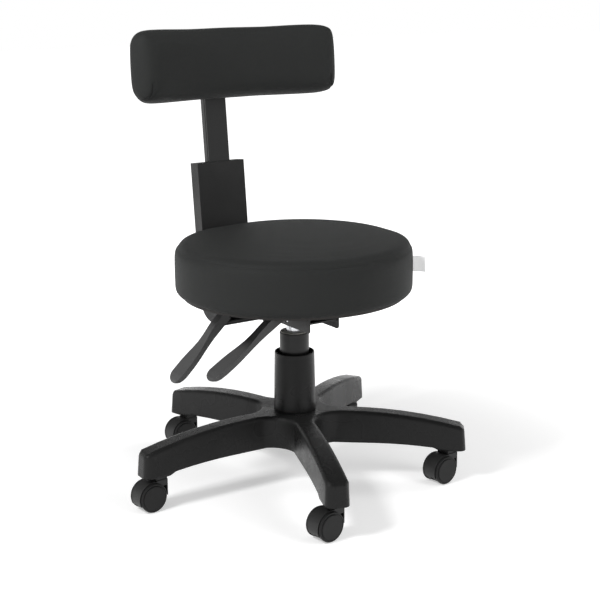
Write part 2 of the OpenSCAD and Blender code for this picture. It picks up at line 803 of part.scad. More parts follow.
module at_height_handle() {
    translate([height_root[0], lever_y, height_root[1]]) rotate([0, -height_droop, 0]) children();
}

// Height lever's arm: a finger over the valve, the pivot and a tongue into the handle.
module height_lever_arm() {
    finger_z = gas_top_z + button_up + 0.9;
    color(steel_black) difference() {
        union() {
            front_view(lever_y - arm_t / 2, lever_y + arm_t / 2) polygon([
                [lever_x - 5, lever_z - 6], [lever_x + 5, lever_z - 4],
                [-button_r, finger_z], [button_r - 1, finger_z],
                [button_r - 1, finger_z + 3], [-button_r - 4, finger_z + 3],
                [lever_x - 1, lever_z + 6], [lever_x - 9, lever_z + 3]
            ]);
            translate([-button_r, lever_y - arm_t / 2, finger_z])
                cube([2 * button_r - 1, -lever_y + arm_t / 2 + 3, 3]);
            at_height_handle() translate([-50, -arm_t / 2, tongue_z]) cube([68, arm_t, tongue_h]);
        }
        translate([lever_x, lever_y - 6, lever_z]) rotate([-90, 0, 0])
            cylinder(r = pin_r + fit, h = 12);
    }
}

tongue_z = 3.5;
tongue_h = 8;

module height_lever_handle() {
    color([0.2, 0.2, 0.2]) at_height_handle() difference() {
        handle(height_handle_l);
        translate([-50 - snug, -arm_t / 2 - snug, tongue_z - snug])
            cube([60, arm_t + 2 * snug, tongue_h + 2 * snug]);
    }
}

// The tilt lever's shaft crosses the housing, and its end sits in the handle.
shaft_out_r = clamp_r + 1.2;

module tilt_lever_shaft() {
    color(steel_black) translate([0, clamp_y, clamp_z]) {
        rod_x(clamp_r, -half_w - 2, half_w + 10);
        rod_x(shaft_out_r, -tilt_reach, -half_w - play);
    }
}

module tilt_lever_handle() {
    root = [-tilt_reach, clamp_z - shaft_out_r - 1];
    up_l = 22;
    color([0.2, 0.2, 0.2]) difference() {
        translate([root[0], clamp_y, root[1]]) rotate([0, -tilt_droop, 0])
            translate([up_l, 0, 0]) handle(tilt_handle_l);
        translate([0, clamp_y, clamp_z]) rod_x(shaft_out_r + snug, -tilt_reach - snug, 0);
    }
}

// ------------------------------------------------------------------- seat

seat_r_out = seat_d / 2;
board_r = seat_r_out - board_margin;
seat_top_z = plate_z + seat_h;

module seat_board() {
    color("burlywood") translate([0, 0, plate_z]) difference() {
        cylinder(r = board_r, h = seat_board_t);
        translate([0, 0, -1]) seat_bolt_places() cylinder(r = 3 + snug, h = seat_board_t - 1);
    }
}

module seat_bolts() {
    color(zinc) seat_bolt_places() {
        translate([0, 0, plate_z - plate_t - 4.2]) cylinder(r = 5.6, h = 4.2, $fn = 6);
        translate([0, 0, plate_z - plate_t - small])
            cylinder(r = 3, h = plate_t + seat_board_t - 3);
    }
}

module seat_cushion() {
    r = seat_r_out;
    e = seat_edge_r;
    foot = 11;
    color([0.21, 0.21, 0.21]) difference() {
        rotate_extrude($fn = 128) polygon(concat(
            [[0, plate_z], [r - foot, plate_z]],
            [for (i = [1:4]) [r - foot + foot * sin(22.5 * i), plate_z + foot - foot * cos(22.5 * i)]],
            [for (i = [0:6]) [r - e + e * cos(15 * i), seat_top_z - e + e * sin(15 * i)]],
            [for (i = [5:-1:0])
                [(r - e) * i / 6, seat_top_z + seat_crown * (1 - pow(i / 6, 2))]]
        ));
        translate([0, 0, plate_z - 1]) cylinder(r = board_r + snug, h = seat_board_t + 1 + play);
    }
}

// Bare tag sewn into the side of the seat.
module seat_tag() {
    tag_turn = 326.5;
    color("white") rotate([0, 0, tag_turn])
        translate([seat_r_out + 0.2, -0.5, seat_top_z - 56]) cube([tag_l, 1, tag_h]);
}

// --------------------------------------------------------------- backrest

// Side view [y, z]: an arm from the back pivot down to a bend, then up along the post.
bend_z = pivot_z - 19;
bend_c = [bend_y - bend_r * cos(post_lean), bend_z];
to_bend = bend_c - [pivot_y, pivot_z];
to_bend_l = norm(to_bend);
arm_turn = atan2(to_bend[1], to_bend[0]) - asin(bend_r / to_bend_l);
arm_l = sqrt(to_bend_l * to_bend_l - bend_r * bend_r);
post_up = [sin(post_lean), cos(post_lean)];
post_out = [cos(post_lean), -sin(post_lean)];
arm_dir = [cos(arm_turn), sin(arm_turn)];
arm_out = [sin(arm_turn), -cos(arm_turn)];
post_foot = bend_c + bend_r * post_out;

// Points beside the bent line: h outside it, from arm_back before the bend to post_on after.
function bent(h, arm_back, post_on) = concat(
    [bend_c + bend_r * arm_out - arm_back * arm_dir + h * arm_out],
    [for (i = [0:10]) let (a = arm_turn - 90 + (90 - post_lean - arm_turn) * i / 10)
        bend_c + (bend_r + h) * [cos(a), sin(a)]],
    [post_foot + post_on * post_up + h * post_out]
);
function reversed(v) = [for (i = [len(v) - 1:-1:0]) v[i]];
function bent_band(h0, h1, arm_back, post_on) =
    concat(bent(h1, arm_back, post_on), reversed(bent(h0, arm_back, post_on)));

// Frame on the post's line: +Z up the post, +Y towards its back.
module at_post(s = 0) {
    translate([0, post_foot[0], post_foot[1]]) rotate([-post_lean, 0, 0])
        translate([0, 0, s]) children();
}

half_c = cover_t / 2;
post_front = -half_c + cover_wall + 1.7;
post_mid = post_front + post_t / 2;
bar_top = cover_l - 22;
cover_arm = 26;
slot_r = norm([clamp_y - pivot_y, clamp_z - pivot_z]);
slot_turn = atan2(clamp_z - pivot_z, clamp_y - pivot_y);
recline_max = 15;
recline_min = -3;

module cheek_side() {
    difference() {
        union() {
            translate([pivot_y, pivot_z]) circle(r = 12);
            translate([pivot_y, pivot_z]) rotate(slot_turn)
                polygon([[0, -12], [slot_r, -15], [slot_r + 8, -9], [slot_r + 8, 18],
                         [slot_r - 8, 20], [0, 12]]);
        }
        translate([pivot_y, pivot_z]) {
            rotate(slot_turn + recline_min - 1) intersection() {
                difference() {
                    circle(r = slot_r + clamp_r + play + 0.1);
                    circle(r = slot_r - clamp_r - play - 0.1);
                }
                polygon([[0, 0], [2 * slot_r, 0],
                         [2 * slot_r, 2 * slot_r * tan(recline_max - recline_min + 2)]]);
            }
            for (a = [slot_turn + recline_min - 1, slot_turn + recline_max + 1])
                rotate(a) translate([slot_r, 0]) circle(r = clamp_r + play + 0.1);
        }
    }
}

module back_bar() {
    color(steel_black) difference() {
        union() {
            side_view(-bar_w / 2, bar_w / 2)
                polygon(bent_band(post_mid - bar_t / 2, post_mid + bar_t / 2, arm_l - 4, bar_top));
            translate([0, pivot_y, pivot_z])
                rod_x(pivot_d / 2 + 5, -half_w + steel_t + 0.5, half_w - steel_t - 0.5);
            side_view(cheek_x, cheek_x + cheek_t) cheek_side();
            side_view(-cheek_x - cheek_t, -cheek_x) cheek_side();
        }
        translate([0, pivot_y, pivot_z]) rod_x(pivot_d / 2 + fit, -half_w, half_w);
    }
}

// Cover shells. h0 and h1 bound the shell across its depth; the split is behind the middle.
split_h = 2;

module cover_shell(h0, h1, open_low, open_high) {
    difference() {
        side_view(-cover_w / 2, cover_w / 2)
            polygon(bent_band(h0, h1, cover_arm, cover_l));
        side_view(-cover_w / 2 + cover_wall, cover_w / 2 - cover_wall)
            polygon(bent_band(open_low, open_high, cover_arm + 1, cover_l - 2.5));
        at_post(cover_l - 9) translate([-post_w / 2 - play, post_front - play, 0])
            cube([post_w + 2 * play, post_t + 2 * play, 12]);
    }
}

module cover_screw_places() {
    for (x = [-1, 1], s = [40, cover_l - 40])
        at_post(s) translate([x * (cover_w / 2 - 9), 0, 0]) children();
}

module cover_front() {
    color([0.16, 0.16, 0.16]) difference() {
        union() {
            cover_shell(-half_c, split_h, -half_c + cover_wall, split_h + 1);
            cover_screw_places() translate([0, split_h, 0]) rotate([90, 0, 0])
                cylinder(r = 4, h = half_c + split_h - cover_wall / 2);
        }
        cover_screw_places() translate([0, split_h + 1, 0]) rotate([90, 0, 0])
            cylinder(r = 1.5 + snug, h = 11);
    }
}

module cover_rear() {
    color([0.16, 0.16, 0.16]) difference() {
        union() {
            cover_shell(split_h + 0.15, half_c, split_h - 1, half_c - cover_wall);
            cover_screw_places() translate([0, half_c - cover_wall / 2, 0]) rotate([90, 0, 0])
                cylinder(r = 4, h = half_c - cover_wall / 2 - split_h - 0.15);
        }
        cover_screw_places() translate([0, half_c + 1, 0]) rotate([90, 0, 0])
            cylinder(r = 1.6, h = half_c);
        cover_screw_places() translate([0, half_c + 1, 0]) rotate([90, 0, 0])
            cylinder(r = 3.2, h = 4);
    }
}

module cover_screws() {
    color(zinc) cover_screw_places() {
        translate([0, half_c - 0.8, 0]) rotate([90, 0, 0]) cylinder(r = 3, h = 2);
        translate([0, half_c - 2.7, 0]) rotate([90, 0, 0]) cylinder(r = 1.5, h = 14);
    }
}

// Collar inside the cover's mouth that guides the post.
module post_guide() {
    inner_w = post_w + 2 * play;
    inner_t = post_t + 2 * play;
    outer_t = cover_t - 2 * cover_wall - 2 * snug;
    color("dimgray") at_post(cover_l - 26) difference() {
        translate([-inner_w / 2 - 4, -outer_t / 2, 0]) cube([inner_w + 8, outer_t, 14]);
        translate([-inner_w / 2, post_front - play, -1]) cube([inner_w, inner_t, 16]);
    }
}

post_low = 80;
post_high = cover_l + post_show + 85;

module post_section() {
    w = post_w;
    t = post_t;
    g = 1.2;
    difference() {
        polygon([
            [-w / 2 + 1, 0], [w / 2 - 1, 0], [w / 2, 1], [w / 2, 3], [w / 2 - g, 4],
            [w / 2 - g, 5.5], [w / 2, 6.5], [w / 2, t - 1], [w / 2 - 1, t],
            [-w / 2 + 1, t], [-w / 2, t - 1], [-w / 2, 6.5], [-w / 2 + g, 5.5],
            [-w / 2 + g, 4], [-w / 2, 3], [-w / 2, 1]
        ]);
        translate([-bar_w / 2 - 1, (t - bar_t) / 2 - 1]) square([bar_w + 2, bar_t + 2]);
    }
}

module back_post() {
    notch = 10;
    color([0.18, 0.18, 0.18]) difference() {
        at_post(post_low) translate([0, post_front, 0])
            linear_extrude(post_high - post_low) post_section();
        // height notches in the rear wall
        for (i = [0:6]) at_post(post_low + 30 + notch * i)
            translate([-8, post_front + post_t - 1.5, 0]) cube([16, 3, 5]);
        // holes for the bracket's bolts
        for (s = bracket_bolt_at) at_post(s)
            translate([0, post_mid, 0]) rod_x(2.5 + snug, -post_w, post_w);
    }
}

module height_pawl() {
    color(zinc) at_post(cover_l - 60) {
        translate([-9, post_front + post_t + play, 0])
            cube([18, half_c - cover_wall - post_front - post_t - play, 30]);
    }
}

// Height of the pad's middle over the part of the post that shows.
pad_mid_up = 51.5;

// Pad frame: origin in the middle of the pad's back, +Y backwards, +Z up.
pad_s = cover_l + post_show + pad_mid_up;
pad_at = post_foot + pad_s * post_up + (post_front - pad_stand_off) * post_out;

module at_pad() {
    translate([0, pad_at[0], pad_at[1]]) rotate([-pad_lean, 0, 0]) children();
}

function pad_curve(t, d) = [
    (pad_bend_r - d) * sin(t / pad_bend_r * 180 / PI),
    (pad_bend_r - d) * cos(t / pad_bend_r * 180 / PI) - pad_bend_r
];

// Plan of a curved pad: width along the curve, depth and the radius of its front corners.
function pad_plan(w, d0, d1, r) = concat(
    [for (i = [-12:12]) pad_curve(w / 2 * i / 12, d0)],
    [for (i = [0:5]) pad_curve(w / 2 - r + r * cos(18 * i), d1 - r + r * sin(18 * i))],
    [for (i = [11:-1:-11]) pad_curve((w / 2 - r) * i / 12, d1)],
    [for (i = [5:-1:0]) pad_curve(-w / 2 + r - r * cos(18 * i), d1 - r + r * sin(18 * i))]
);

module pad_solid(w, h, d0, d1, corner, edge) {
    chord = 2 * pad_curve(w / 2, d0)[0] + 1;
    intersection() {
        translate([0, 0, -h]) linear_extrude(2 * h) polygon(pad_plan(w, d0, d1, edge));
        front_view(-pad_bend_r / 2, pad_bend_r / 2) polygon(round_rect(chord, h, corner));
        translate([0, -pad_bend_r, 0]) rotate([0, 0, 90 - 30]) rotate_extrude(angle = 60)
            polygon(concat(
                [[pad_bend_r - d0 + 1, h / 2 + 1], [pad_bend_r - d1 + edge, h / 2 + 1]],
                [for (i = [0:6]) [pad_bend_r - d1 + edge - edge * sin(15 * i),
                                  h / 2 - edge + edge * cos(15 * i)]],
                [for (i = [6:-1:0]) [pad_bend_r - d1 + edge - edge * sin(15 * i),
                                     -h / 2 + edge - edge * cos(15 * i)]],
                [[pad_bend_r - d1 + edge, -h / 2 - 1], [pad_bend_r - d0 + 1, -h / 2 - 1]]
            ));
    }
}

board_edge = 14;

module back_cushion() {
    color([0.2, 0.2, 0.2]) at_pad() difference() {
        pad_solid(pad_w, pad_h, 0, pad_t, pad_corner_r, pad_edge_r);
        pad_board_solid(snug, back_board_t + play);
    }
}

module pad_board_solid(grow, t) {
    intersection() {
        translate([0, 0, -pad_h]) linear_extrude(2 * pad_h)
            polygon(pad_plan(pad_w - 2 * board_edge + 2 * grow, -1, t, 1));
        front_view(-99, 99) polygon(round_rect(
            pad_w, pad_h - 2 * board_edge + 2 * grow, pad_corner_r - board_edge + grow));
    }
}

module back_board() {
    color("burlywood") at_pad() difference() {
        intersection() {
            pad_board_solid(0, back_board_t);
            translate([0, -pad_bend_r, -pad_h]) cylinder(r = pad_bend_r, h = 2 * pad_h, $fn = 360);
        }
        back_screw_places() rotate([90, 0, 0])
            cylinder(r = 2 + snug, h = 2 * (back_board_t - 2), center = true);
    }
}

bracket_w = 92;
bracket_h = 74;
bracket_t = 3;
bracket_bolt_at = [pad_s - 18, pad_s + 14];

module back_screw_places() {
    for (x = [-1, 1], z = [-1, 1])
        translate([x * (bracket_w / 2 - 8), 0, z * (bracket_h / 2 - 10)]) children();
}

// Pressed bracket: a plate on the board and two cheeks that hold the post between them.
module back_bracket() {
    post_side = post_foot + pad_s * post_up + (post_mid + 2) * post_out;
    color(steel_black) difference() {
        union() {
            at_pad() difference() {
                front_view(small - 2, bracket_t) polygon(round_rect(bracket_w, bracket_h, 8));
                translate([0, -pad_bend_r, -pad_h])
                    cylinder(r = pad_bend_r + snug, h = 2 * pad_h, $fn = 360);
            }
            for (s = [-1, 1])
                side_view(s * (post_w / 2 + snug + steel_t / 2) - steel_t / 2,
                          s * (post_w / 2 + snug + steel_t / 2) + steel_t / 2)
                    polygon([
                        pad_at + [0.5 + 0.06 * 30, 30], post_side + 24 * post_up,
                        post_side - 28 * post_up, pad_at + [0.5 - 0.06 * 30, -30]
                    ]);
        }
        at_pad() back_screw_places() rotate([90, 0, 0])
            cylinder(r = 2.4, h = 20, center = true);
        for (s = bracket_bolt_at) at_post(s)
            translate([0, post_mid, 0]) rod_x(2.5 + snug, -post_w, post_w);
    }
}

module back_screws() {
    color(zinc) at_pad() back_screw_places() {
        translate([0, bracket_t + 2.2, 0]) rotate([90, 0, 0]) cylinder(r = 4.2, h = 2.2);
        translate([0, bracket_t + small, 0]) rotate([90, 0, 0])
            cylinder(r = 2, h = bracket_t + back_board_t - 3.5);
    }
}

module bracket_bolts() {
    head_x = post_w / 2 + steel_t + 0.1;
    color(zinc) for (s = bracket_bolt_at) at_post(s) translate([0, post_mid, 0]) {
        rod_x(2.5, -head_x - small, head_x + 3);
        rod_x(4.5, -head_x - 3, -head_x);
        translate([head_x, 0, 0]) rotate([0, 90, 0]) difference() {
            cylinder(r = 4.6, h = 4, $fn = 6);
            translate([0, 0, -1]) cylinder(r = 2.5 - small, h = 6);
        }
    }
}

// ------------------------------------------------------------------ nodes

star_base();
dust_sleeve();
column_tube();
guide_bush();
caster_stems();
piston_rod();
piston_head();
thrust_bearing();
rubber_buffer();
retaining_clip();
gas_cylinder();
rod_guide();
mechanism_housing();
taper_socket();
lever_pin();
back_pivot_pin();
pin_clips();
friction_discs();
clamp_nut();
seat_board();
seat_bolts();
seat_cushion();
seat_tag();
valve_button();
height_lever_arm();
height_lever_handle();
tilt_lever_shaft();
tilt_lever_handle();
back_bar();
cover_front();
cover_rear();
cover_screws();
post_guide();
height_pawl();
back_post();
back_bracket();
bracket_bolts();
back_board();
back_screws();
back_cushion();
for (k = [1:legs]) {
    caster_hood(k);
    caster_axle(k);
    caster_wheel(k, -1);
    caster_wheel(k, 1);
}
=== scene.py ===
# %% [markdown]
# # Dressing a dentist's stool
# The stool's metal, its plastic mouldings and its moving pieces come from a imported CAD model
# at real size. This script keeps those solids where they are, gives every one a finish, and
# makes again what CAD can only rough out: two upholstered cushions, their seams and tucks, and
# the small label on the seat. Everything is in metres, +Z up, and the sitter faces -Y.

# %% Load the frame
import math
import bmesh
import bpy
import numpy as np
from mathutils import Matrix, Vector
from mathutils.bvhtree import BVHTree


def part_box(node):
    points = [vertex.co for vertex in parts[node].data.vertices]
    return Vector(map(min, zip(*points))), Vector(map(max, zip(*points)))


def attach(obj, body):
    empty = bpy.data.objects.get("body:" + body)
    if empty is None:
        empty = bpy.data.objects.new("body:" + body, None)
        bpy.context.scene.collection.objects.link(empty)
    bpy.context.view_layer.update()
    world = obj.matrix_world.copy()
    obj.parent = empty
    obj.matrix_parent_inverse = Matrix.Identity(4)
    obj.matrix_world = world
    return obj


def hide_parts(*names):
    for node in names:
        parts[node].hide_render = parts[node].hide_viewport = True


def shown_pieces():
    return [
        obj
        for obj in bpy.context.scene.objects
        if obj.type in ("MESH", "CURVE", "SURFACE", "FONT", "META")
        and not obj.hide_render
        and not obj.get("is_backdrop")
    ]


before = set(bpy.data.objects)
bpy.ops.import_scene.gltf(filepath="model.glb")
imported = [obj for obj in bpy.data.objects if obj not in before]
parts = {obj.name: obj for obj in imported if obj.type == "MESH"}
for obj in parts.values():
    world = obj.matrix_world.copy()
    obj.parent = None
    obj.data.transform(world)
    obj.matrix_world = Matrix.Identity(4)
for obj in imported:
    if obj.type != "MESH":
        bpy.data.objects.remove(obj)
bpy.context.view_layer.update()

# %% [markdown]
# ## The camera and the places read from the photograph
# A picture fixes a camera when enough places in it are known on the object. The named places
# below are pixels in a frame of 600 by 600. The camera stands in front of the stool and to the
# sitter's right, a little above the seat and more than two metres away, which is why the far
# legs look hardly smaller than the near ones. It needs no shift: aiming it is enough.

# %% Camera
PICTURE = 600
camera_place = Vector((-1.19777, -1.82747, 0.86315))
camera_turn = math.radians(-33.506)      # about Z, from straight behind the -Y side
camera_pitch = math.radians(14.063)      # how far it looks down
camera_roll = math.radians(-0.376)
camera_lens = 79.72                      # on a sensor 36 mm wide

backwards = Vector((math.sin(camera_turn) * math.cos(camera_pitch),
                    -math.cos(camera_turn) * math.cos(camera_pitch),
                    math.sin(camera_pitch)))
level_right = Vector((math.cos(camera_turn), math.sin(camera_turn), 0))
level_up = backwards.cross(level_right)
right = math.cos(camera_roll) * level_right + math.sin(camera_roll) * level_up
up = math.cos(camera_roll) * level_up - math.sin(camera_roll) * level_right

camera_data = bpy.data.cameras.new("photo_camera")
camera_data.sensor_fit = "AUTO"
camera_data.sensor_width = 36
camera_data.lens = camera_lens
camera = bpy.data.objects.new("photo_camera", camera_data)
bpy.context.scene.collection.objects.link(camera)
camera.matrix_world = Matrix.Translation(camera_place) @ Matrix(
    (right, up, backwards)).transposed().to_4x4()
bpy.context.scene.camera = camera
bpy.context.view_layer.update()
print("camera at", [round(x, 3) for x in camera.location])

# %% Places in the picture, and the two ways between them and the object
places = {
    "left": (130.0, None), "right": (466.5, None), "top": (None, 25.8), "bottom": (None, 543.0),
    "label_middle": (420.4, 264.1),
    "tuck_low": (144.1, 99.5),
    "tuck_high": (153.7, 84.0),
    "seam_right": (385.0, 261.0),
    "seam_left": (181.0, 251.0),
    "sleeve_rim_front": (293.0, 354.8),
    "front_paddle_end": (205.2, 375.0),
    "rear_paddle_end": (169.5, 376.5),
    "cover_corner_top": (243.8, 158.2),
    "near_wheel_low": (329.0, 542.5),
}


def picture_ray(x, y):
    """The point the camera stands in, and the direction that pixel x, y looks along."""
    side = Vector((x - PICTURE / 2 + camera_data.shift_x * PICTURE,
                   PICTURE / 2 - y + camera_data.shift_y * PICTURE,
                   -PICTURE * camera_data.lens / camera_data.sensor_width))
    return camera.matrix_world.translation, (camera.matrix_world.to_3x3() @ side).normalized()


def picture_place(point):
    """Where a point shows, in pixels."""
    seen = camera.matrix_world.inverted() @ Vector(point)
    scale = PICTURE * camera_data.lens / camera_data.sensor_width / -seen.z
    return (PICTURE / 2 - camera_data.shift_x * PICTURE + seen.x * scale,
            PICTURE / 2 + camera_data.shift_y * PICTURE - seen.y * scale)


def surface_under(x, y, carrier):
    """Where pixel x, y meets a BVHTree: (point, normal). A miss takes the place nearest the ray."""
    start, ahead = picture_ray(x, y)
    point, normal, _, _ = carrier.ray_cast(start, ahead)
    if point is None:
        found = [carrier.find_nearest(start + ahead * (1.2 + 0.005 * step)) for step in range(400)]
        point, normal, _, _ = min(found, key=lambda hit: hit[3])
    return point, normal


# %% [markdown]
# ## Tools for meshes
# Pieces are built from plain lists of points and faces. A cushion's start is a merged copy of
# its CAD solid, because that already has the right outline.

# %% Mesh helpers
def mesh_piece(name, points, faces, smooth=True):
    """An object at the origin, from points in metres and faces that look outwards."""
    mesh = bpy.data.meshes.new(name)
    mesh.from_pydata([tuple(p) for p in points], [], faces)
    mesh.validate()
    mesh.polygons.foreach_set("use_smooth", [smooth] * len(mesh.polygons))
    piece = bpy.data.objects.new(name, mesh)
    bpy.context.scene.collection.objects.link(piece)
    return piece


def merged_copy(node, name):
    """A copy of a CAD solid with its loose triangles joined."""
    copy = bpy.data.objects.new(name, parts[node].data.copy())
    copy.data.materials.clear()
    bpy.context.scene.collection.objects.link(copy)
    work = bmesh.new()
    work.from_mesh(copy.data)
    bmesh.ops.remove_doubles(work, verts=work.verts, dist=1e-5)
    bmesh.ops.recalc_face_normals(work, faces=work.faces)
    work.to_mesh(copy.data)
    work.free()
    return copy


def applied(piece):
    """Every modifier on the piece becomes part of its mesh."""
    bpy.context.view_layer.update()
    seen = piece.evaluated_get(bpy.context.evaluated_depsgraph_get())
    mesh = bpy.data.meshes.new_from_object(seen)
    piece.modifiers.clear()
    old = piece.data
    piece.data = mesh
    bpy.data.meshes.remove(old)
    piece.data.name = piece.name
    return piece


def points_of(piece):
    """The piece's points as an array of n rows."""
    flat = np.empty(len(piece.data.vertices) * 3)
    piece.data.vertices.foreach_get("co", flat)
    return flat.reshape(-1, 3)


def move_points(piece, points):
    """Puts the piece's points in new places."""
    piece.data.vertices.foreach_set("co", np.asarray(points, float).ravel())
    piece.data.update()


def tree_of(piece):
    """The piece's surface, for rays."""
    return BVHTree.FromObject(piece, bpy.context.evaluated_depsgraph_get())


# %% [markdown]
# ## Effects that several finishes share
# Vinyl, moulded plastic and painted steel all get their look from small relief. Each effect is
# a node group with named inputs, built once. The groups read Object coordinates in metres, so a
# grain has its real size on every piece.

# %% Node helpers
def put(tree, kind, place, values=None, **settings):
    """Adds a node, sets its settings and the values of its sockets."""
    node = tree.nodes.new(kind)
    node.location = place
    for key, value in settings.items():
        setattr(node, key, value)
    for socket, value in (values or {}).items():
        node.inputs[socket].default_value = value
    return node


def join(tree, *wires):
    """Links sockets. A wire is (node, its output, next node, its input)."""
    for source, output, target, socket in wires:
        tree.links.new(source.outputs[output], target.inputs[socket])


def new_group(name, inputs, outputs):
    """A shader node group with float inputs {name: value} and outputs {name: kind}."""
    tree = bpy.data.node_groups.new(name, "ShaderNodeTree")
    for title, value in inputs.items():
        socket = tree.interface.new_socket(title, in_out="INPUT", socket_type="NodeSocketFloat")
        socket.default_value = value
    for title, kind in outputs.items():
        tree.interface.new_socket(title, in_out="OUTPUT", socket_type=kind)
    return tree, put(tree, "NodeGroupInput", (-900, 0)), put(tree, "NodeGroupOutput", (700, 0))


# %% Group: the grain of artificial leather
def build_leather_grain():
    """Small raised cells with soft valleys between them, on top of a slower waviness."""
    tree, given, result = new_group(
        "leather_grain", {"Cells per metre": 850.0, "Distortion": 0.0006},
        {"Height": "NodeSocketFloat", "Valley": "NodeSocketFloat"})
    spot = put(tree, "ShaderNodeTexCoord", (-1100, 200))
    wobble = put(tree, "ShaderNodeTexNoise", (-900, 300), {"Scale": 260.0, "Detail": 2.0})
    centred = put(tree, "ShaderNodeVectorMath", (-700, 300), {1: (0.5, 0.5, 0.5)}, operation="SUBTRACT")
    scaled = put(tree, "ShaderNodeVectorMath", (-540, 300), operation="SCALE")
    moved = put(tree, "ShaderNodeVectorMath", (-380, 200), operation="ADD")
    cells = put(tree, "ShaderNodeTexVoronoi", (-200, 200), {"Randomness": 0.9},
                feature="DISTANCE_TO_EDGE")
    dome = put(tree, "ShaderNodeMapRange", (0, 200), {"From Min": 0.0, "From Max": 0.28},
               interpolation_type="SMOOTHSTEP")
    wrinkle = put(tree, "ShaderNodeTexNoise", (-200, -100), {"Scale": 1900.0, "Detail": 3.0})
    both = put(tree, "ShaderNodeMath", (240, 100), {2: 0.0}, operation="MULTIPLY_ADD")
    both.inputs[1].default_value = 0.75
    fine = put(tree, "ShaderNodeMath", (100, -100), {1: 0.25}, operation="MULTIPLY")
    valley = put(tree, "ShaderNodeMath", (240, 300), {0: 1.0}, operation="SUBTRACT")
    join(tree, (spot, "Object", wobble, "Vector"), (wobble, "Color", centred, 0),
         (centred, 0, scaled, 0), (given, "Distortion", scaled, "Scale"),
         (spot, "Object", moved, 0), (scaled, 0, moved, 1), (moved, 0, cells, "Vector"),
         (given, "Cells per metre", cells, "Scale"), (cells, "Distance", dome, "Value"),
         (spot, "Object", wrinkle, "Vector"), (wrinkle, "Fac", fine, 0), (dome, "Result", both, 0),
         (fine, 0, both, 2), (dome, "Result", valley, 1), (both, 0, result, "Height"),
         (valley, 0, result, "Valley"))
    return tree


# %% Group: the fine texture of moulded plastic
def build_moulded_texture():
    """The even, sandy relief that a sparked mould leaves, with slow patches of more and less."""
    tree, given, result = new_group(
        "moulded_texture", {"Grains per metre": 1500.0, "Patches per metre": 18.0},
        {"Height": "NodeSocketFloat", "Patch": "NodeSocketFloat"})
    spot = put(tree, "ShaderNodeTexCoord", (-900, 200))
    sand = put(tree, "ShaderNodeTexNoise", (-500, 200), {"Detail": 3.0, "Roughness": 0.65})
    slow = put(tree, "ShaderNodeTexNoise", (-500, -150), {"Detail": 2.0})
    spread = put(tree, "ShaderNodeMapRange", (-200, -150), {"From Min": 0.35, "From Max": 0.65})
    for noise, rate in ((sand, "Grains per metre"), (slow, "Patches per metre")):
        join(tree, (spot, "Object", noise, "Vector"), (given, rate, noise, "Scale"))
    join(tree, (slow, "Fac", spread, "Value"), (sand, "Fac", result, "Height"),
         (spread, "Result", result, "Patch"))
    return tree


# %% Group: rubbed and dusty places
def build_handling():
    """Where hands, shoes and floor dust have been: fine specks gathered in soft clouds."""
    tree, given, result = new_group(
        "handling", {"Clouds per metre": 12.0, "Specks per metre": 420.0, "Amount": 0.5},
        {"Mask": "NodeSocketFloat"})
    spot = put(tree, "ShaderNodeTexCoord", (-900, 200))
    cloud = put(tree, "ShaderNodeTexNoise", (-600, 250), {"Detail": 4.0, "Roughness": 0.6})
    speck = put(tree, "ShaderNodeTexNoise", (-600, -100), {"Detail": 2.0, "Roughness": 0.8})
    cloudy = put(tree, "ShaderNodeMapRange", (-350, 250), {"From Min": 0.45, "From Max": 0.75})
    specky = put(tree, "ShaderNodeMapRange", (-350, -100), {"From Min": 0.5, "From Max": 0.72})
    both = put(tree, "ShaderNodeMath", (-100, 100), operation="MULTIPLY")
    amount = put(tree, "ShaderNodeMath", (100, 100), operation="MULTIPLY", use_clamp=True)
    for noise, rate in ((cloud, "Clouds per metre"), (speck, "Specks per metre")):
        join(tree, (spot, "Object", noise, "Vector"), (given, rate, noise, "Scale"))
    join(tree, (cloud, "Fac", cloudy, "Value"), (speck, "Fac", specky, "Value"),
         (cloudy, "Result", both, 0), (specky, "Result", both, 1), (both, 0, amount, 0),
         (given, "Amount", amount, 1), (amount, 0, result, "Mask"))
    return tree


# %% Group: the lines that grinding leaves on metal
def build_ground_lines():
    """Streaks along one axis: the noise is squeezed far more across the streaks than along."""
    tree, given, result = new_group(
        "ground_lines", {"Across per metre": 3000.0, "Along per metre": 60.0},
        {"Height": "NodeSocketFloat"})
    spot = put(tree, "ShaderNodeTexCoord", (-900, 200))
    rates = put(tree, "ShaderNodeCombineXYZ", (-700, -50))
    squeezed = put(tree, "ShaderNodeVectorMath", (-450, 150), operation="MULTIPLY")
    lines = put(tree, "ShaderNodeTexNoise", (-250, 150), {"Scale": 1.0, "Detail": 2.0})
    join(tree, (given, "Along per metre", rates, "X"), (given, "Along per metre", rates, "Y"),
         (given, "Across per metre", rates, "Z"), (spot, "Object", squeezed, 0),
         (rates, 0, squeezed, 1), (squeezed, 0, lines, "Vector"), (lines, "Fac", result, "Height"))
    return tree


leather_grain = build_leather_grain()
moulded_texture = build_moulded_texture()
handling = build_handling()
ground_lines = build_ground_lines()
print("shared effects:", [g.name for g in bpy.data.node_groups])

# %% [markdown]
# ## Finishes
# Nearly everything on this stool is black, and a black thing is drawn by what it reflects. The
# colours are therefore close to each other and very dark, and the finishes differ by their
# roughness and relief: soft vinyl, matt moulded nylon, glossier levers, painted steel.


# %% Finish helper
def new_finish(name, rough, spec=0.5, metal=0.0, **more):
    """A material with a Principled BSDF. Constant numbers go on the shader's own sockets."""
    finish = bpy.data.materials.new(name)
    finish.use_nodes = True
    tree = finish.node_tree
    shader = tree.nodes["Principled BSDF"]
    shader.inputs["Roughness"].default_value = rough
    shader.inputs["Specular IOR Level"].default_value = spec
    shader.inputs["Metallic"].default_value = metal
    for socket, value in more.items():
        shader.inputs[socket.replace("_", " ")].default_value = value
    return finish, tree, shader


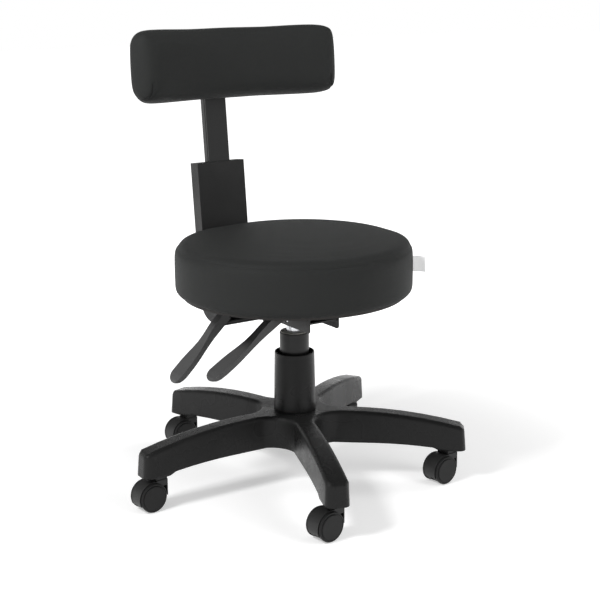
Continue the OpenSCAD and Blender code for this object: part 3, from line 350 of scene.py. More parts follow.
def effect(tree, group, place, **values):
    """Places a shared effect in a material with its own values."""
    node = put(tree, "ShaderNodeGroup", place, node_tree=group)
    for socket, value in values.items():
        node.inputs[socket.replace("_", " ")].default_value = value
    return node


def blend_colours(tree, mask, low, high, shader):
    """Base Color goes from low to high with the mask."""
    mix = put(tree, "ShaderNodeMix", (-300, 300), data_type="RGBA")
    mix.inputs["A"].default_value = (*low, 1)
    mix.inputs["B"].default_value = (*high, 1)
    tree.links.new(mask, mix.inputs["Factor"])
    join(tree, (mix, "Result", shader, "Base Color"))


def spread_roughness(tree, mask, low, high, shader):
    """Roughness goes from low to high with the mask."""
    spread = put(tree, "ShaderNodeMapRange", (-300, 0), {"To Min": low, "To Max": high})
    tree.links.new(mask, spread.inputs["Value"])
    join(tree, (spread, "Result", shader, "Roughness"))


def relief(tree, height, depth, shader):
    """A Bump node whose height is depth metres."""
    bump = put(tree, "ShaderNodeBump", (-300, -300), {"Strength": 1.0, "Distance": depth})
    tree.links.new(height, bump.inputs["Height"])
    join(tree, (bump, "Normal", shader, "Normal"))
    return bump


def grey(level):
    """A colour without a hue."""
    return (level, level, level)


# %% Black moulded plastics
def plastic(name, colour, worn, rough, grains, depth, dust, spec=0.3, edge=0.0006):
    """A moulded nylon or polypropylene: sandy relief, dusty clouds, and edges that catch light."""
    finish, tree, shader = new_finish(name, rough, spec)
    sand = effect(tree, moulded_texture, (-700, -200), Grains_per_metre=grains)
    hands = effect(tree, handling, (-700, 300), Amount=dust)
    blend_colours(tree, hands.outputs["Mask"], colour, worn, shader)
    spread_roughness(tree, sand.outputs["Patch"], rough - 0.05, rough + 0.06, shader)
    bump = relief(tree, sand.outputs["Height"], depth, shader)
    rounded = put(tree, "ShaderNodeBevel", (-600, -500), {"Radius": edge}, samples=6)
    join(tree, (rounded, "Normal", bump, "Normal"))
    return finish


# name, colour, rubbed colour, roughness, grains per metre, depth of the relief in metres, dust
base_plastic = plastic("base_nylon", grey(0.014), grey(0.040), 0.27, 620, 0.0005, 0.4,
                       spec=0.17, edge=0.0045)
sleeve_plastic = plastic("sleeve_polypropylene", grey(0.010), grey(0.03), 0.30, 900, 0.0003, 0.3,
                         spec=0.17)
caster_plastic = plastic("hood_nylon", grey(0.020), grey(0.05), 0.36, 1300, 0.00015, 0.6)
wheel_plastic = plastic("wheel_nylon", grey(0.011), grey(0.035), 0.44, 1300, 0.00015, 0.5, spec=0.24)
cover_plastic = plastic("cover_polypropylene", grey(0.014), grey(0.03), 0.5, 800, 0.00045, 0.3)
lever_plastic = plastic("lever_nylon", grey(0.075), grey(0.12), 0.34, 1300, 0.00015, 0.3)
bush_plastic = plastic("bush_acetal", (0.42, 0.41, 0.38), (0.30, 0.29, 0.27), 0.45, 1800, 0.00006, 0.5)
rubber = plastic("buffer_rubber", grey(0.014), grey(0.04), 0.75, 900, 0.00020, 0.7, spec=0.35)
friction = plastic("friction_lining", (0.12, 0.075, 0.045), (0.2, 0.15, 0.1), 0.8, 700, 0.00025, 0.8)
print("plastics:", base_plastic.name, sleeve_plastic.name, cover_plastic.name)


# %% Painted and bare metals
def painted_steel(name, colour, rough, peel):
    """Powder paint: a slow orange peel in the gloss and thin rubbed places."""
    finish, tree, shader = new_finish(name, rough, 0.3)
    skin = effect(tree, moulded_texture, (-700, -200), Grains_per_metre=450)
    hands = effect(tree, handling, (-700, 300), Amount=0.5)
    blend_colours(tree, hands.outputs["Mask"], colour, tuple(3 * c + 0.01 for c in colour), shader)
    spread_roughness(tree, skin.outputs["Patch"], rough - 0.04, rough + 0.05, shader)
    relief(tree, skin.outputs["Height"], peel, shader)
    return finish


def bare_metal(name, colour, stained, rough, across, depth):
    """Bright metal with its working lines, a little duller where it is handled."""
    finish, tree, shader = new_finish(name, rough, 0.5, 1.0)
    lines = effect(tree, ground_lines, (-700, -200), Across_per_metre=across)
    hands = effect(tree, handling, (-700, 300), Amount=0.8)
    blend_colours(tree, hands.outputs["Mask"], colour, stained, shader)
    spread_roughness(tree, hands.outputs["Mask"], rough, rough + 0.2, shader)
    relief(tree, lines.outputs["Height"], depth, shader)
    return finish


black_steel = painted_steel("black_powder_paint", grey(0.010), 0.40, 0.00008)
post_paint = painted_steel("post_paint", grey(0.014), 0.34, 0.00005)
zinc = bare_metal("bright_zinc", (0.62, 0.63, 0.66), (0.42, 0.42, 0.43), 0.28, 2200, 0.00001)
chrome = bare_metal("hard_chrome", (0.80, 0.81, 0.83), (0.6, 0.6, 0.6), 0.08, 4000, 0.000002)
gas_steel = bare_metal("gas_spring_steel", (0.55, 0.56, 0.58), (0.3, 0.3, 0.31), 0.22, 2500, 0.00001)
print("metals:", black_steel.name, post_paint.name, zinc.name)


# %% Black vinyl
def black_vinyl():
    """Upholstery vinyl: leathery cells, valleys a little duller than the crests."""
    finish, tree, shader = new_finish("black_vinyl", 0.6, 0.12)
    grain = effect(tree, leather_grain, (-700, -100))
    hands = effect(tree, handling, (-700, 300), Amount=0.4)
    blend_colours(tree, hands.outputs["Mask"], (0.026, 0.027, 0.0265), (0.036, 0.037, 0.037), shader)
    spread_roughness(tree, grain.outputs["Valley"], 0.55, 0.7, shader)
    relief(tree, grain.outputs["Height"], 0.00016, shader)
    return finish


def board_wood():
    """The plywood under the padding, stained black: a long soft figure in two near-blacks."""
    finish, tree, shader = new_finish("plywood", 0.7)
    spot = put(tree, "ShaderNodeTexCoord", (-1000, 100))
    squeezed = put(tree, "ShaderNodeVectorMath", (-820, 100), {1: (20.0, 260.0, 60.0)},
                   operation="MULTIPLY")
    figure = put(tree, "ShaderNodeTexNoise", (-640, 100), {"Scale": 1.0, "Detail": 4.0})
    join(tree, (spot, "Object", squeezed, 0), (squeezed, 0, figure, "Vector"))
    blend_colours(tree, figure.outputs["Fac"], (0.020, 0.018, 0.016), (0.009, 0.008, 0.0075), shader)
    relief(tree, figure.outputs["Fac"], 0.0002, shader)
    return finish


def label_cloth():
    """A white woven label: crossing threads a third of a millimetre apart, with a faint painted glow.
    """
    # the white emission is a painted glow: it brightens the label where the seat shades it
    finish, tree, shader = new_finish("white_label", 0.7, 0.3, Emission_Strength=0.22)
    shader.inputs["Emission Color"].default_value = (1, 1, 1, 1)
    spot = put(tree, "ShaderNodeTexCoord", (-1100, 0))
    warp = put(tree, "ShaderNodeTexWave", (-800, 150), {"Scale": 480.0}, bands_direction="Z")
    weft = put(tree, "ShaderNodeTexWave", (-800, -150), {"Scale": 480.0}, bands_direction="DIAGONAL")
    weave = put(tree, "ShaderNodeMath", (-550, 0), operation="MULTIPLY")
    join(tree, (spot, "Object", warp, "Vector"), (spot, "Object", weft, "Vector"),
         (warp, "Fac", weave, 0), (weft, "Fac", weave, 1))
    blend_colours(tree, weave.outputs[0], (0.86, 0.86, 0.86), (0.94, 0.94, 0.94), shader)
    relief(tree, weave.outputs[0], 0.0001, shader)
    return finish


vinyl = black_vinyl()
wood = board_wood()
label_white_painted_glow = label_cloth()
print("soft finishes:", vinyl.name, label_white_painted_glow.name)

# %% [markdown]
# ## Every CAD solid gets its finish
# A table from finish to solids keeps this readable. A solid that a later cell replaces gets a
# finish too, so that nothing is ever plain.

# %% Finishes on the solids
finish_of = {}
for finish, nodes in (
        (base_plastic, "star_base"), (sleeve_plastic, "dust_sleeve"), (rubber, "rubber_buffer"),
        (bush_plastic, "guide_bush post_guide"), (cover_plastic, "cover_front cover_rear"),
        (lever_plastic, "height_lever_handle tilt_lever_handle"),
        (friction, "friction_discs"), (gas_steel, "gas_cylinder"), (post_paint, "back_post"),
        (chrome, "piston_rod thrust_bearing valve_button"),
        (black_steel, "column_tube mechanism_housing taper_socket height_lever_arm "
                      "tilt_lever_shaft back_bar back_bracket"),
        (zinc, "caster_stems piston_head retaining_clip rod_guide lever_pin back_pivot_pin "
               "pin_clips clamp_nut seat_bolts cover_screws height_pawl bracket_bolts back_screws"),
        (vinyl, "seat_cushion back_cushion"), (wood, "seat_board back_board"),
        (label_white_painted_glow, "seat_tag")):
    finish_of.update(dict.fromkeys(nodes.split(), finish))
for k in range(1, 6):
    finish_of[f"caster_{k}_hood"] = caster_plastic
    finish_of[f"caster_{k}_axle"] = zinc
    finish_of[f"caster_{k}_wheel_left"] = finish_of[f"caster_{k}_wheel_right"] = wheel_plastic

for name, solid in parts.items():
    if not solid.material_slots:
        solid.data.materials.append(finish_of[name])
    for material_slot in solid.material_slots:
        material_slot.material = finish_of[name]
print("solids without a finish:", sorted(set(parts) - set(finish_of)))

# %% [markdown]
# ## Padding that pushes against its cover
# A real cushion is foam a little too big for its cover, so the cover is tight and slightly
# crowned. Blender's cloth does the same: a shell of even squares with pressure inside swells
# until the cloth holds it. The shell starts a few millimetres inside the finished outline, and
# no point may travel further than a cap, so the outline stays that of the solid.


# %% Cushion helper
def evened(values, piece, times):
    """Each point's value drifts towards the mean of its neighbours."""
    ends = np.empty(2 * len(piece.data.edges), int)
    piece.data.edges.foreach_get("vertices", ends)
    one, other = ends.reshape(-1, 2).T
    count = np.bincount(ends, minlength=len(values))[:, None]
    for _ in range(times):
        total = np.zeros_like(values)
        np.add.at(total, one, values[other])
        np.add.at(total, other, values[one])
        values = 0.5 * values + 0.5 * total / count
    return values


def normals_of(piece):
    """Each point's outward direction."""
    flat = np.empty(3 * len(piece.data.vertices))
    piece.data.vertices.foreach_get("normal", flat)
    return flat.reshape(-1, 3)


def padded_shell(node, name, square, inset, cap, pressure):
    """A cloth shell swollen by pressure from just inside a CAD solid's outline."""
    shell = merged_copy(node, name)
    solid = tree_of(shell)
    remesh = shell.modifiers.new("squares", "REMESH")
    remesh.mode = "VOXEL"
    remesh.voxel_size = square
    remesh.use_smooth_shade = True
    applied(shell)
    soften = shell.modifiers.new("soften", "SMOOTH")
    soften.factor = 0.5
    soften.iterations = 5
    applied(shell)
    # the squares go back onto the solid, so the outline is the solid's own
    onto = np.array([solid.find_nearest(Vector(p))[0] for p in points_of(shell)])
    move_points(shell, evened(onto, shell, 2))
    outward = evened(normals_of(shell), shell, 2)
    start = points_of(shell) - outward * inset
    move_points(shell, start)
    cloth = shell.modifiers.new("cloth", "CLOTH").settings
    cloth.use_pressure = True
    cloth.uniform_pressure_force = pressure
    cloth.effector_weights.gravity = 0
    cloth.quality = 5
    cloth.tension_stiffness = cloth.compression_stiffness = 40
    scene = bpy.context.scene
    for number in range(1, 21):
        scene.frame_set(number)
    seen = shell.evaluated_get(bpy.context.evaluated_depsgraph_get())
    flat = np.empty(len(seen.data.vertices) * 3)
    seen.data.vertices.foreach_get("co", flat)
    travel = flat.reshape(-1, 3) - start
    shell.modifiers.clear()
    scene.frame_set(1)
    length = np.linalg.norm(travel, axis=1, keepdims=True)
    print(name, "moved", round(float(length.mean()) * 1000, 2), "mm on average, at most",
          round(float(length.max()) * 1000, 2), "before the cap")
    travel = travel * np.minimum(1.0, cap / np.maximum(length, 1e-9))
    travel = evened(travel, shell, 70)
    move_points(shell, start + travel)
    return shell


def finer(piece):
    """Every face becomes four, on a smooth surface."""
    smooth = piece.modifiers.new("finer", "SUBSURF")
    smooth.levels = smooth.render_levels = 1
    return applied(piece)


def dressed_in(piece, finish, body, node):
    """The usual last lines for a piece: its finish, its body, and hiding the solid it stands for."""
    piece.data.materials.clear()
    piece.data.materials.append(finish)
    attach(piece, body)
    if node:
        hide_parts(node)
    return piece


def ramp(values, low, high):
    """0 below low, 1 above high and smooth between."""
    t = np.clip((values - low) / (high - low), 0, 1)
    return t * t * (3 - 2 * t)


# %% Seat cushion
SEAT_GROWTH = 1.016      # a new cover stands a little outside the drawing
SEAT_CROWN, SEAT_LEAN = 0.0036, 0.0016      # and higher on top, most of all on the sitter's left

seat = padded_shell("seat_cushion", "seat_pad", square=0.005, inset=0.003, cap=0.0035, pressure=2.0)
seat_low, seat_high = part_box("seat_cushion")
finer(seat)
shape = points_of(seat)
shape[:, :2] *= SEAT_GROWTH
aside = (shape[:, 0] * level_right.x + shape[:, 1] * level_right.y) / seat_high.x
on_top = ramp(shape[:, 2], seat_low.z + 0.035, seat_high.z - 0.006)
shape[:, 2] += (SEAT_CROWN + SEAT_LEAN * aside) * on_top
move_points(seat, shape)
print("seat pad:", len(seat.data.polygons), "faces,", "box", seat_low, seat_high)

# %% [markdown]
# ## The seam round the seat
# The seat's cover is a round top panel and a side band. They are sewn together where the top's
# round edge ends, and the thread pulls the foam in a little. One place in the picture gives the
# seam its height. The band itself is closed by a short upright seam, beside the small label.

# %% The seam's height, and the groove it pulls
seat_skin = tree_of(seat)
seam_point, _ = surface_under(*places["seam_right"], seat_skin)
left_point, _ = surface_under(*places["seam_left"], seat_skin)
seam_z = seam_point.z
print("seam height from the right place", round(seam_z, 4), "and from the left", round(left_point.z, 4))
label_root, _ = surface_under(*places["label_middle"], seat_skin)
label_turn = math.atan2(label_root.y, label_root.x)
print("label root", np.round(label_root, 4))
label_side = Vector((math.cos(label_turn), math.sin(label_turn), 0))
SIDE_FROM = 0.17      # the band lies further from the axis than this


def pulled_in(piece, depth, width):
    """Presses the band's seams into the cushion."""
    points, outward = points_of(piece), normals_of(piece)
    from_axis = np.hypot(points[:, 0], points[:, 1])
    side = np.clip((from_axis - SIDE_FROM) / 0.02, 0, 1)
    ring = np.exp(-((points[:, 2] - seam_z) / width) ** 2 / 2)
    across = points[:, 0] * -label_side.y + points[:, 1] * label_side.x
    ahead = points[:, 0] * label_side.x + points[:, 1] * label_side.y > 0
    below = ahead * (points[:, 2] < seam_z) * (from_axis > SIDE_FROM)
    upright = np.exp(-(across / width) ** 2 / 2) * below
    pull = depth * np.maximum(ring * side, 0.7 * upright)
    move_points(piece, points - outward * pull[:, None])


pulled_in(seat, depth=0.0013, width=0.0024)
seat_skin = tree_of(seat)


# %% Groups: stitches and a fold along a line
def line_tree(name, inputs):
    """A geometry node group with the mesh input and output that a modifier needs."""
    tree = bpy.data.node_groups.new(name, "GeometryNodeTree")
    tree.interface.new_socket("Geometry", in_out="INPUT", socket_type="NodeSocketGeometry")
    for title, kind, value in inputs:
        socket = tree.interface.new_socket(title, in_out="INPUT", socket_type=kind)
        if value is not None:
            socket.default_value = value
    tree.interface.new_socket("Geometry", in_out="OUTPUT", socket_type="NodeSocketGeometry")
    return tree, put(tree, "NodeGroupInput", (-900, 0)), put(tree, "NodeGroupOutput", (900, 0))


def finished_mesh(tree, mesh, given, result):
    """The usual end of a group: real and smooth geometry in the finish that is given."""
    real = put(tree, "GeometryNodeRealizeInstances", (200, 100))
    shade = put(tree, "GeometryNodeSetShadeSmooth", (400, 100))
    finish = put(tree, "GeometryNodeSetMaterial", (600, 100))
    tree.links.new(mesh, real.inputs["Geometry"])
    join(tree, (real, "Geometry", shade, "Geometry"), (shade, "Geometry", finish, "Geometry"),
         (given, "Finish", finish, "Material"), (finish, "Geometry", result, "Geometry"))
    return tree


def build_row_of_stitches():
    """Short round stitches, a pitch apart, lying along the edges of a mesh."""
    tree, given, result = line_tree("row_of_stitches", (
        ("Pitch", "NodeSocketFloat", 0.0032), ("Length", "NodeSocketFloat", 0.0024),
        ("Thickness", "NodeSocketFloat", 0.0005), ("Finish", "NodeSocketMaterial", None)))
    line = put(tree, "GeometryNodeMeshToCurve", (-700, 100))
    spots = put(tree, "GeometryNodeCurveToPoints", (-500, 100), mode="LENGTH")
    ball = put(tree, "GeometryNodeMeshUVSphere", (-500, -150),
               {"Segments": 6, "Rings": 4, "Radius": 0.5})
    sizes = put(tree, "ShaderNodeCombineXYZ", (-500, -350))
    shaped = put(tree, "GeometryNodeTransform", (-250, -200))
    stood = put(tree, "GeometryNodeInstanceOnPoints", (0, 100))
    join(tree, (given, "Geometry", line, "Mesh"), (line, "Curve", spots, "Curve"),
         (given, "Pitch", spots, "Length"), (given, "Thickness", sizes, "X"),
         (given, "Thickness", sizes, "Y"), (given, "Length", sizes, "Z"),
         (ball, "Mesh", shaped, "Geometry"), (sizes, "Vector", shaped, "Scale"),
         (spots, "Points", stood, "Points"), (spots, "Rotation", stood, "Rotation"),
         (shaped, "Geometry", stood, "Instance"))
    return finished_mesh(tree, stood.outputs["Instances"], given, result)


def build_folded_edge():
    """A thin rounded fold of vinyl along the edges of a mesh."""
    tree, given, result = line_tree("folded_edge", (
        ("Radius", "NodeSocketFloat", 0.0006), ("Finish", "NodeSocketMaterial", None)))
    line = put(tree, "GeometryNodeMeshToCurve", (-600, 100))
    ring = put(tree, "GeometryNodeCurvePrimitiveCircle", (-600, -150), {"Resolution": 8})
    tube = put(tree, "GeometryNodeCurveToMesh", (-300, 100), {"Fill Caps": True})
    join(tree, (given, "Geometry", line, "Mesh"), (given, "Radius", ring, "Radius"),
         (line, "Curve", tube, "Curve"), (ring, "Curve", tube, "Profile Curve"))
    return finished_mesh(tree, tube.outputs["Mesh"], given, result)


row_of_stitches = build_row_of_stitches()
folded_edge = build_folded_edge()


def grown(name, tree, points, edges, **values):
    """Runs a geometry node group over a line of points and keeps what it makes as a mesh."""
    mesh = bpy.data.meshes.new(name)
    mesh.from_pydata([tuple(p) for p in points], edges, [])
    piece = bpy.data.objects.new(name, mesh)
    bpy.context.scene.collection.objects.link(piece)
    maker = piece.modifiers.new(name, "NODES")
    maker.node_group = tree
    for socket in tree.interface.items_tree:
        key = socket.name.replace(" ", "_")
        if socket.in_out == "INPUT" and key in values:
            maker[socket.identifier] = values[key]
    applied(piece)
    print(name, len(piece.data.polygons), "faces")
    return piece


# %% Thread and fold in the seat's seams
def seat_line(turns, heights, sunk):
    """Points on the seat's side at these turns and heights, sunk below its surface."""
    line = []
    for turn, height in zip(turns, heights):
        way, level = Vector((math.cos(turn), math.sin(turn), 0)), Vector((0, 0, height))
        point, normal, _, _ = seat_skin.ray_cast(way * 0.3 + level, -way)
        if point is None:      # a ray can slip between two faces
            point, normal, _, _ = seat_skin.find_nearest(way * seat_high.x + level)
        line.append(point - normal * sunk)
    return line


ring_count = 240
ring_turns = [2 * math.pi * i / ring_count for i in range(ring_count)]
ring_edges = [(i, (i + 1) % ring_count) for i in range(ring_count)]
fold_line = seat_line(ring_turns, [seam_z + 0.0005] * ring_count, 0.0003)
seam_fold = grown("seat_seam_fold", folded_edge, fold_line, ring_edges, Radius=0.0006, Finish=vinyl)
dressed_in(seam_fold, vinyl, "carrier", None)
thread_line = seat_line(ring_turns, [seam_z - 0.0007] * ring_count, 0.00005)
thread = plastic("black_thread", grey(0.02), grey(0.05), 0.6, 3000, 0.00004, 0.3)
seam_thread = grown("seat_seam_thread", row_of_stitches, thread_line, ring_edges,
                    Pitch=0.0032, Length=0.0024, Thickness=0.0005, Finish=thread)
dressed_in(seam_thread, thread, "carrier", None)

upright_count = 30
upright_low, upright_high = seat_low.z + 0.006, seam_z - 0.001
upright_heights = [upright_low + (upright_high - upright_low) * i / (upright_count - 1)
                   for i in range(upright_count)]
upright_line = seat_line([label_turn] * upright_count, upright_heights, 0.0002)
upright_edges = [(i, i + 1) for i in range(upright_count - 1)]
upright_fold = grown("seat_band_closing_fold", folded_edge, upright_line, upright_edges,
                     Radius=0.0006, Finish=vinyl)
dressed_in(upright_fold, vinyl, "carrier", None)

dressed_in(seat, vinyl, "carrier", "seat_cushion")

# %% [markdown]
# ## The back cushion
# Its vinyl is one piece drawn round a curved board, and the spare cloth at each lower corner is
# folded into a tuck. The picture shows one: a short curved groove with a raised lip outside it.

# %% Back cushion
back = padded_shell("back_cushion", "back_pad", square=0.0045, inset=0.003, cap=0.003, pressure=2.0)
back_low, back_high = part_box("back_cushion")


def rounder(piece, low, high, times):
    """Softens every edge, then stretches the piece to fill its solid's box again."""
    points = evened(points_of(piece), piece, times)
    small, large = points.min(axis=0), points.max(axis=0)
    low, high = np.array(tuple(low)), np.array(tuple(high))
    move_points(piece, low + (points - small) * (high - low) / (large - small))


rounder(back, back_low, back_high, 60)
finer(back)
print("back pad:", len(back.data.polygons), "faces")
back_skin = tree_of(back)

# %% Tucks at the lower corners
def smooth_line(points, count):
    """Evenly spaced points on a soft curve through the given ones."""
    given = np.array([tuple(p) for p in points])
    along = np.concatenate([[0], np.cumsum(np.linalg.norm(np.diff(given, axis=0), axis=1))])
    even = np.linspace(0, along[-1], count)
    line = np.stack([np.interp(even, along, given[:, i]) for i in range(3)], axis=1)
    for _ in range(6):
        line[1:-1] = 0.25 * line[:-2] + 0.5 * line[1:-1] + 0.25 * line[2:]
    return line


tuck_low, tuck_skin = surface_under(*places["tuck_low"], back_skin)
tuck_high, _ = surface_under(*places["tuck_high"], back_skin)
aside = (tuck_high - tuck_low).cross(tuck_skin).normalized()
if aside.x < 0:
    aside.negate()
TUCK_BOW = 0.0062      # how far the groove bows from the straight line between its ends
tuck_line = [back_skin.find_nearest(tuck_low.lerp(tuck_high, t) + aside * (TUCK_BOW * bow))[0]
             for t, bow in ((0, 0), (0.3, 0.85), (0.65, 0.95), (1, 0))]
groove = smooth_line(tuck_line, 40)
print("tuck from", np.round(groove[0], 4), "to", np.round(groove[-1], 4))


def creased(piece, line, depth, width):
    """Presses a groove along a line of points, deepest at its middle."""
    points, outward = points_of(piece), normals_of(piece)
    near = np.where(np.linalg.norm(points - line.mean(axis=0), axis=1) < 0.06)[0]
    gaps = np.linalg.norm(points[near][:, None] - line[None], axis=2)
    nearest = gaps.argmin(axis=1)
    t = nearest / (len(line) - 1)
    strength = np.sqrt(np.sin(math.pi * (0.06 + 0.88 * t)))
    pull = depth * strength * np.exp(-(gaps.min(axis=1) / width) ** 2 / 2)
    points[near] -= outward[near] * pull[:, None]
    move_points(piece, points)


def lip(name, line, width, height):
    """A tapered fold on the cushion: it rises slowly from outside and falls into the groove."""
    profile = ((-0.15, -0.5), (0.0, 0.55), (0.2, 1.0), (0.5, 0.75), (0.8, 0.25), (1.15, -0.35))
    points, faces = [], []
    for i, at in enumerate(line):
        along = Vector(line[min(i + 1, len(line) - 1)] - line[max(i - 1, 0)]).normalized()
        _, up_here, _, _ = back_skin.find_nearest(Vector(at))
        aside = along.cross(up_here).normalized()
        taper = math.sin(math.pi * (0.04 + 0.92 * i / (len(line) - 1))) ** 0.6
        for across, above in profile:
            spot = Vector(at) + aside * (across * width * taper)
            under, up_there, _, _ = back_skin.find_nearest(spot)
            points.append(under + up_there * (above * height * taper))
    count = len(profile)
    for i in range(len(line) - 1):
        for j in range(count - 1):
            a, b = i * count + j, (i + 1) * count + j
            faces.append((a, a + 1, b + 1, b))
    return mesh_piece(name, points, faces)


mirrored = groove * np.array([-1, 1, 1])
for line in (groove, mirrored):
    creased(back, line, depth=0.0036, width=0.0017)
back_skin = tree_of(back)
for name, line in (("back_tuck_right", groove), ("back_tuck_left", mirrored)):
    piece = lip(name, line if name.endswith("right") else line[::-1],
                width=0.0040, height=0.0020)
    finer(piece)
    dressed_in(piece, vinyl, "backrest", None)
dressed_in(back, vinyl, "backrest", "back_cushion")

# %% [markdown]
# ## The label
# A folded white ribbon is sewn into the band's closing seam. It is bare on both sides, and its finish
# has a faint painted glow that keeps it white in the seat's shade.

# %% Label
LABEL_RISE = 0.001      # its middle, above the place that the ray meets


def ribbon_loop(out, tall, thick):
    """Two leaves of ribbon that leave the seam and meet in a round fold, a little bowed."""
    middle_z = label_root.z + LABEL_RISE
    sideways = Vector((-label_side.y, label_side.x, 0))
    root, _, _, _ = seat_skin.find_nearest(label_side * seat_high.x + Vector((0, 0, middle_z)))
    root_r = root.x * label_side.x + root.y * label_side.y
    gap = 0.0007
    path = [(-0.003 + (out + 0.003) * i / 10, gap) for i in range(11)]
    path += [(out + gap * 1.3 * math.sin(math.radians(a)), gap * math.cos(math.radians(a)))
             for a in (30, 60, 90, 120, 150)]
    path += [(x, -y) for x, y in reversed(path[:11])]
    rows = 9
    points, faces = [], []
    inner = [(x, y * (gap - thick) / gap) for x, y in path]
    outline = path + inner[::-1]
    for r in range(rows):
        up_at = middle_z + tall * (r / (rows - 1) - 0.5)
        for x, y in outline:
            bend = 0.0016 * math.sin(math.pi * min(1, max(0, x / out)) * 0.8)
            twist = 0.0006 * (2 * r / (rows - 1) - 1) * x / out
            spot = label_side * (root_r + x) + sideways * (y + (bend + twist))
            points.append((spot.x, spot.y, up_at - 0.0012 * (x / out) ** 2))
    count = len(outline)
    for r in range(rows - 1):
        for i in range(count):
            j = (i + 1) % count
            faces.append((r * count + i, r * count + j, (r + 1) * count + j, (r + 1) * count + i))
    half_way = len(path)
    for r, flip in ((0, True), (rows - 1, False)):
        for i in range(half_way - 1):
            a, b = r * count + i, r * count + i + 1
            c, d = r * count + count - 2 - i, r * count + count - 1 - i
            faces.append((a, d, c, b) if flip else (a, b, c, d))
    return mesh_piece("seat_label", points, faces)


label = ribbon_loop(out=0.0205, tall=0.026, thick=0.0003)
fix = bmesh.new()
fix.from_mesh(label.data)
bmesh.ops.recalc_face_normals(fix, faces=fix.faces)
fix.to_mesh(label.data)
fix.free()
dressed_in(label, label_white_painted_glow, "carrier", "seat_tag")
print("label:", len(label.data.polygons), "faces")

# %% [markdown]
# ## The base's moulding, shaded as one surface
# The CAD base is exact but its triangles are flat. A joined copy with soft shading below a
# chosen angle shows the legs' rounded edges as the mould makes them.

# %% Smooth base
def softly_shaded(node, name, limit, body, finish):
    """A joined copy of a CAD solid, smooth but for edges sharper than the limit in degrees."""
    copy = merged_copy(node, name)
    copy.data.polygons.foreach_set("use_smooth", [True] * len(copy.data.polygons))
    copy.data.set_sharp_from_angle(angle=math.radians(limit))
    even = copy.modifiers.new("even", "WEIGHTED_NORMAL")
    even.keep_sharp = True
    even.weight = 50
    applied(copy)
    return dressed_in(copy, finish, body, node)


softly_shaded("star_base", "base_moulding", 42, "base", base_plastic)

# %% [markdown]
# ## Floor and light
# The photograph has a pure white ground with soft shadows. The floor answers the camera with
# extra white, so it clips to white in the open and still keeps the shadow under the stool.

# %% Floor
def seen_rays(tree, x):
    """1 for a ray that shows what it meets, straight or in a reflection or through glass."""
    rays = put(tree, "ShaderNodeLightPath", (x, 0))
    total = rays.outputs["Is Camera Ray"]
    for kind in ("Is Glossy Ray", "Is Transmission Ray"):
        x += 190
        both = put(tree, "ShaderNodeMath", (x, 0), operation="MAXIMUM")
        tree.links.new(total, both.inputs[0])
        tree.links.new(rays.outputs[kind], both.inputs[1])
        total = both.outputs[0]
    return total


def white_floor():
    """Lit white near the stool, where its shadow lies, and plain white further out."""
    finish = bpy.data.materials.new("studio_floor")
    finish.use_nodes = True
    tree = finish.node_tree
    shader = tree.nodes["Principled BSDF"]
    shader.inputs["Base Color"].default_value = (0.8, 0.8, 0.8, 1)
    shader.inputs["Roughness"].default_value = 0.9
    shader.inputs["Specular IOR Level"].default_value = 0.0
    shader.inputs["Emission Color"].default_value = (1, 1, 1, 1)
    seen = seen_rays(tree, -900)
    spot = put(tree, "ShaderNodeTexCoord", (-900, -300))
    away = put(tree, "ShaderNodeVectorMath", (-700, -300), operation="LENGTH")
    glow = put(tree, "ShaderNodeMapRange", (-500, -300),
               {"From Min": 0.38, "From Max": 1.1, "To Min": 0.40, "To Max": 1.0},
               interpolation_type="SMOOTHSTEP")
    level = put(tree, "ShaderNodeMath", (-250, -100), operation="MULTIPLY")
    join(tree, (spot, "Object", away, 0), (away, "Value", glow, "Value"))
    tree.links.new(seen, level.inputs[0])
    join(tree, (glow, "Result", level, 1), (level, 0, shader, "Emission Strength"))
    return finish


half = 12.0
corners = [(-half, -half, 0), (half, -half, 0), (half, half, 0), (-half, half, 0)]
floor = mesh_piece("studio_floor", corners, [(0, 1, 2, 3)], smooth=False)
floor.data.materials.append(white_floor())
floor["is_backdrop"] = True

# %% World and lamps
world = bpy.data.worlds.new("studio")
bpy.context.scene.world = world
world.use_nodes = True
sky = world.node_tree
sky_background = sky.nodes["Background"]
sky_background.inputs["Color"].default_value = (1, 1, 1, 1)
sky_seen = seen_rays(sky, -1100)
sky_spot = put(sky, "ShaderNodeTexCoord", (-1300, -300))
sky_parts = put(sky, "ShaderNodeSeparateXYZ", (-1100, -300))
sky_ceiling = put(sky, "ShaderNodeMapRange", (-900, -300),
                  {"From Min": 0.18, "From Max": 0.45, "To Min": 1.0, "To Max": 0.12},
                  interpolation_type="SMOOTHSTEP")
sky_level = put(sky, "ShaderNodeMix", (-500, 0), {"A": 0.30}, data_type="FLOAT")
join(sky, (sky_spot, "Generated", sky_parts, 0), (sky_parts, "Z", sky_ceiling, "Value"))
sky.links.new(sky_seen, sky_level.inputs["Factor"])
join(sky, (sky_ceiling, "Result", sky_level, "B"),
     (sky_level, "Result", sky_background, "Strength"))


def softbox(name, place, size, power):
    """A rectangular area lamp that looks at the stool's middle."""
    lamp = bpy.data.lights.new(name, "AREA")
    lamp.shape = "RECTANGLE"
    lamp.size, lamp.size_y = size
    lamp.energy = power
    holder = bpy.data.objects.new(name, lamp)
    bpy.context.scene.collection.objects.link(holder)
    holder.location = place
    aim = Vector((0, 0, 0.35)) - Vector(place)
    holder.rotation_euler = aim.to_track_quat("-Z", "Y").to_euler()
    return holder


toward_camera = Vector((math.sin(camera_turn), -math.cos(camera_turn), 0))
softbox("key", toward_camera * 1.3 - level_right * 1.6 + Vector((0, 0, 2.1)), (0.6, 0.6), 50)
fill = softbox("fill", toward_camera * 1.2 + level_right * 1.9 + Vector((0, 0, 1.5)), (0.8, 1.8), 18)
fill.visible_glossy = False
rim = softbox("rim", -toward_camera * 1.0 + level_right * 1.8 + Vector((0, 0, 2.0)), (0.8, 0.8), 16)
rim.visible_glossy = False
bpy.context.scene.view_settings.view_transform = "Standard"
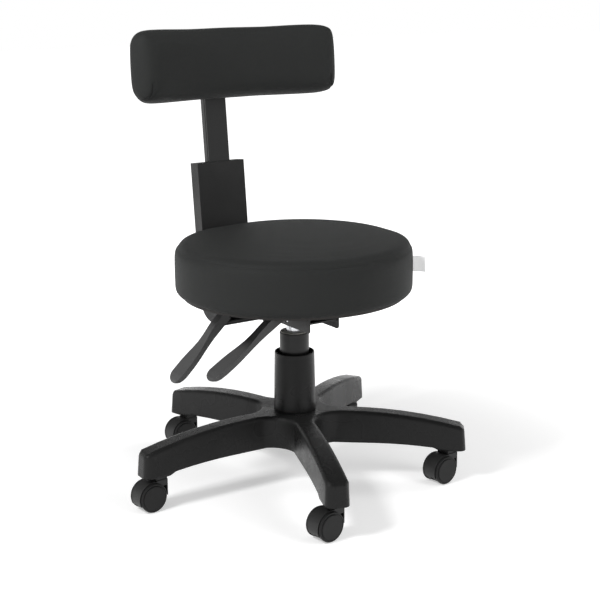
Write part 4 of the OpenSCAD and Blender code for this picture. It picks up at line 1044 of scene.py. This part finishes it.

# %% Where each named place shows on the finished pieces
SHOWN_TESTS, EDGE_TESTS = 1500, 60      # vertices tested over a whole piece, and at each edge


def pixels_of(piece):
    """The finished vertices of a piece that show, in pixels: those no other face hides."""
    graph = bpy.context.evaluated_depsgraph_get()
    seen = piece.evaluated_get(graph)
    eye = camera.matrix_world.translation
    spots = [seen.matrix_world @ v.co for v in seen.data.vertices]
    flat = np.array([picture_place(spot) for spot in spots])
    step = max(1, len(spots) // SHOWN_TESTS)
    edge = set()
    for way in ((1, 0), (-1, 0), (0, 1), (0, -1), (1, -1)):
        edge.update((flat @ np.array(way)).argsort()[-EDGE_TESTS:].tolist())
    shown = []
    for i in sorted(edge | set(range(0, len(spots), step))):
        ahead = spots[i] - eye
        hit, *_ = bpy.context.scene.ray_cast(graph, eye, ahead.normalized(),
                                             distance=ahead.length - 0.0008)
        if not hit:
            shown.append(flat[i])
    return np.array(shown).reshape(-1, 2)


bpy.context.view_layer.update()
on_picture = {piece.name: pixels_of(piece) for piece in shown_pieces() if not piece.hide_render}
everything = np.concatenate(list(on_picture.values()))


def showing(word):
    """What shows of the pieces whose names hold this word, or one unknown place if nothing does."""
    shown = [flat for name, flat in on_picture.items() if word in name and len(flat)]
    return np.concatenate(shown or [np.full((1, 2), np.nan)])


def furthest(points, way):
    """The point that lies furthest along a direction in the picture."""
    return points[(points @ np.array(way)).argmax()]


def nearest_to(points, place):
    """The point that lies nearest to a place in the picture."""
    return points[np.linalg.norm(points - np.array(place), axis=1).argmin()]


label_pixels, sleeve_pixels = showing("seat_label"), showing("dust_sleeve")
rim_pixels = sleeve_pixels[~(sleeve_pixels[:, 1] >= sleeve_pixels[:, 1].min() + 6)]
rim_middle = (rim_pixels[:, 0].min() + rim_pixels[:, 0].max()) / 2
rim_front = sleeve_pixels[~(abs(sleeve_pixels[:, 0] - rim_middle) >= 3)]
found = {
    "left": furthest(everything, (-1, 0)), "right": furthest(everything, (1, 0)),
    "top": furthest(everything, (0, -1)), "bottom": furthest(everything, (0, 1)),
    "label_middle": (label_pixels.min(axis=0) + label_pixels.max(axis=0)) / 2,
    "tuck_low": furthest(showing("back_tuck_right"), (0, 1)),
    "tuck_high": furthest(showing("back_tuck_right"), (0, -1)),
    "seam_right": nearest_to(showing("seat_seam_fold"), places["seam_right"]),
    "seam_left": nearest_to(showing("seat_seam_fold"), places["seam_left"]),
    "sleeve_rim_front": (rim_middle, rim_front[:, 1].min()),
    "front_paddle_end": furthest(showing("height_lever_handle"), (-1, 0)),
    "rear_paddle_end": furthest(showing("tilt_lever_handle"), (-1, 0)),
    "cover_corner_top": furthest(showing("cover_front"), (1, -1)),
    "near_wheel_low": furthest(showing("caster_4"), (0, 1)),
}
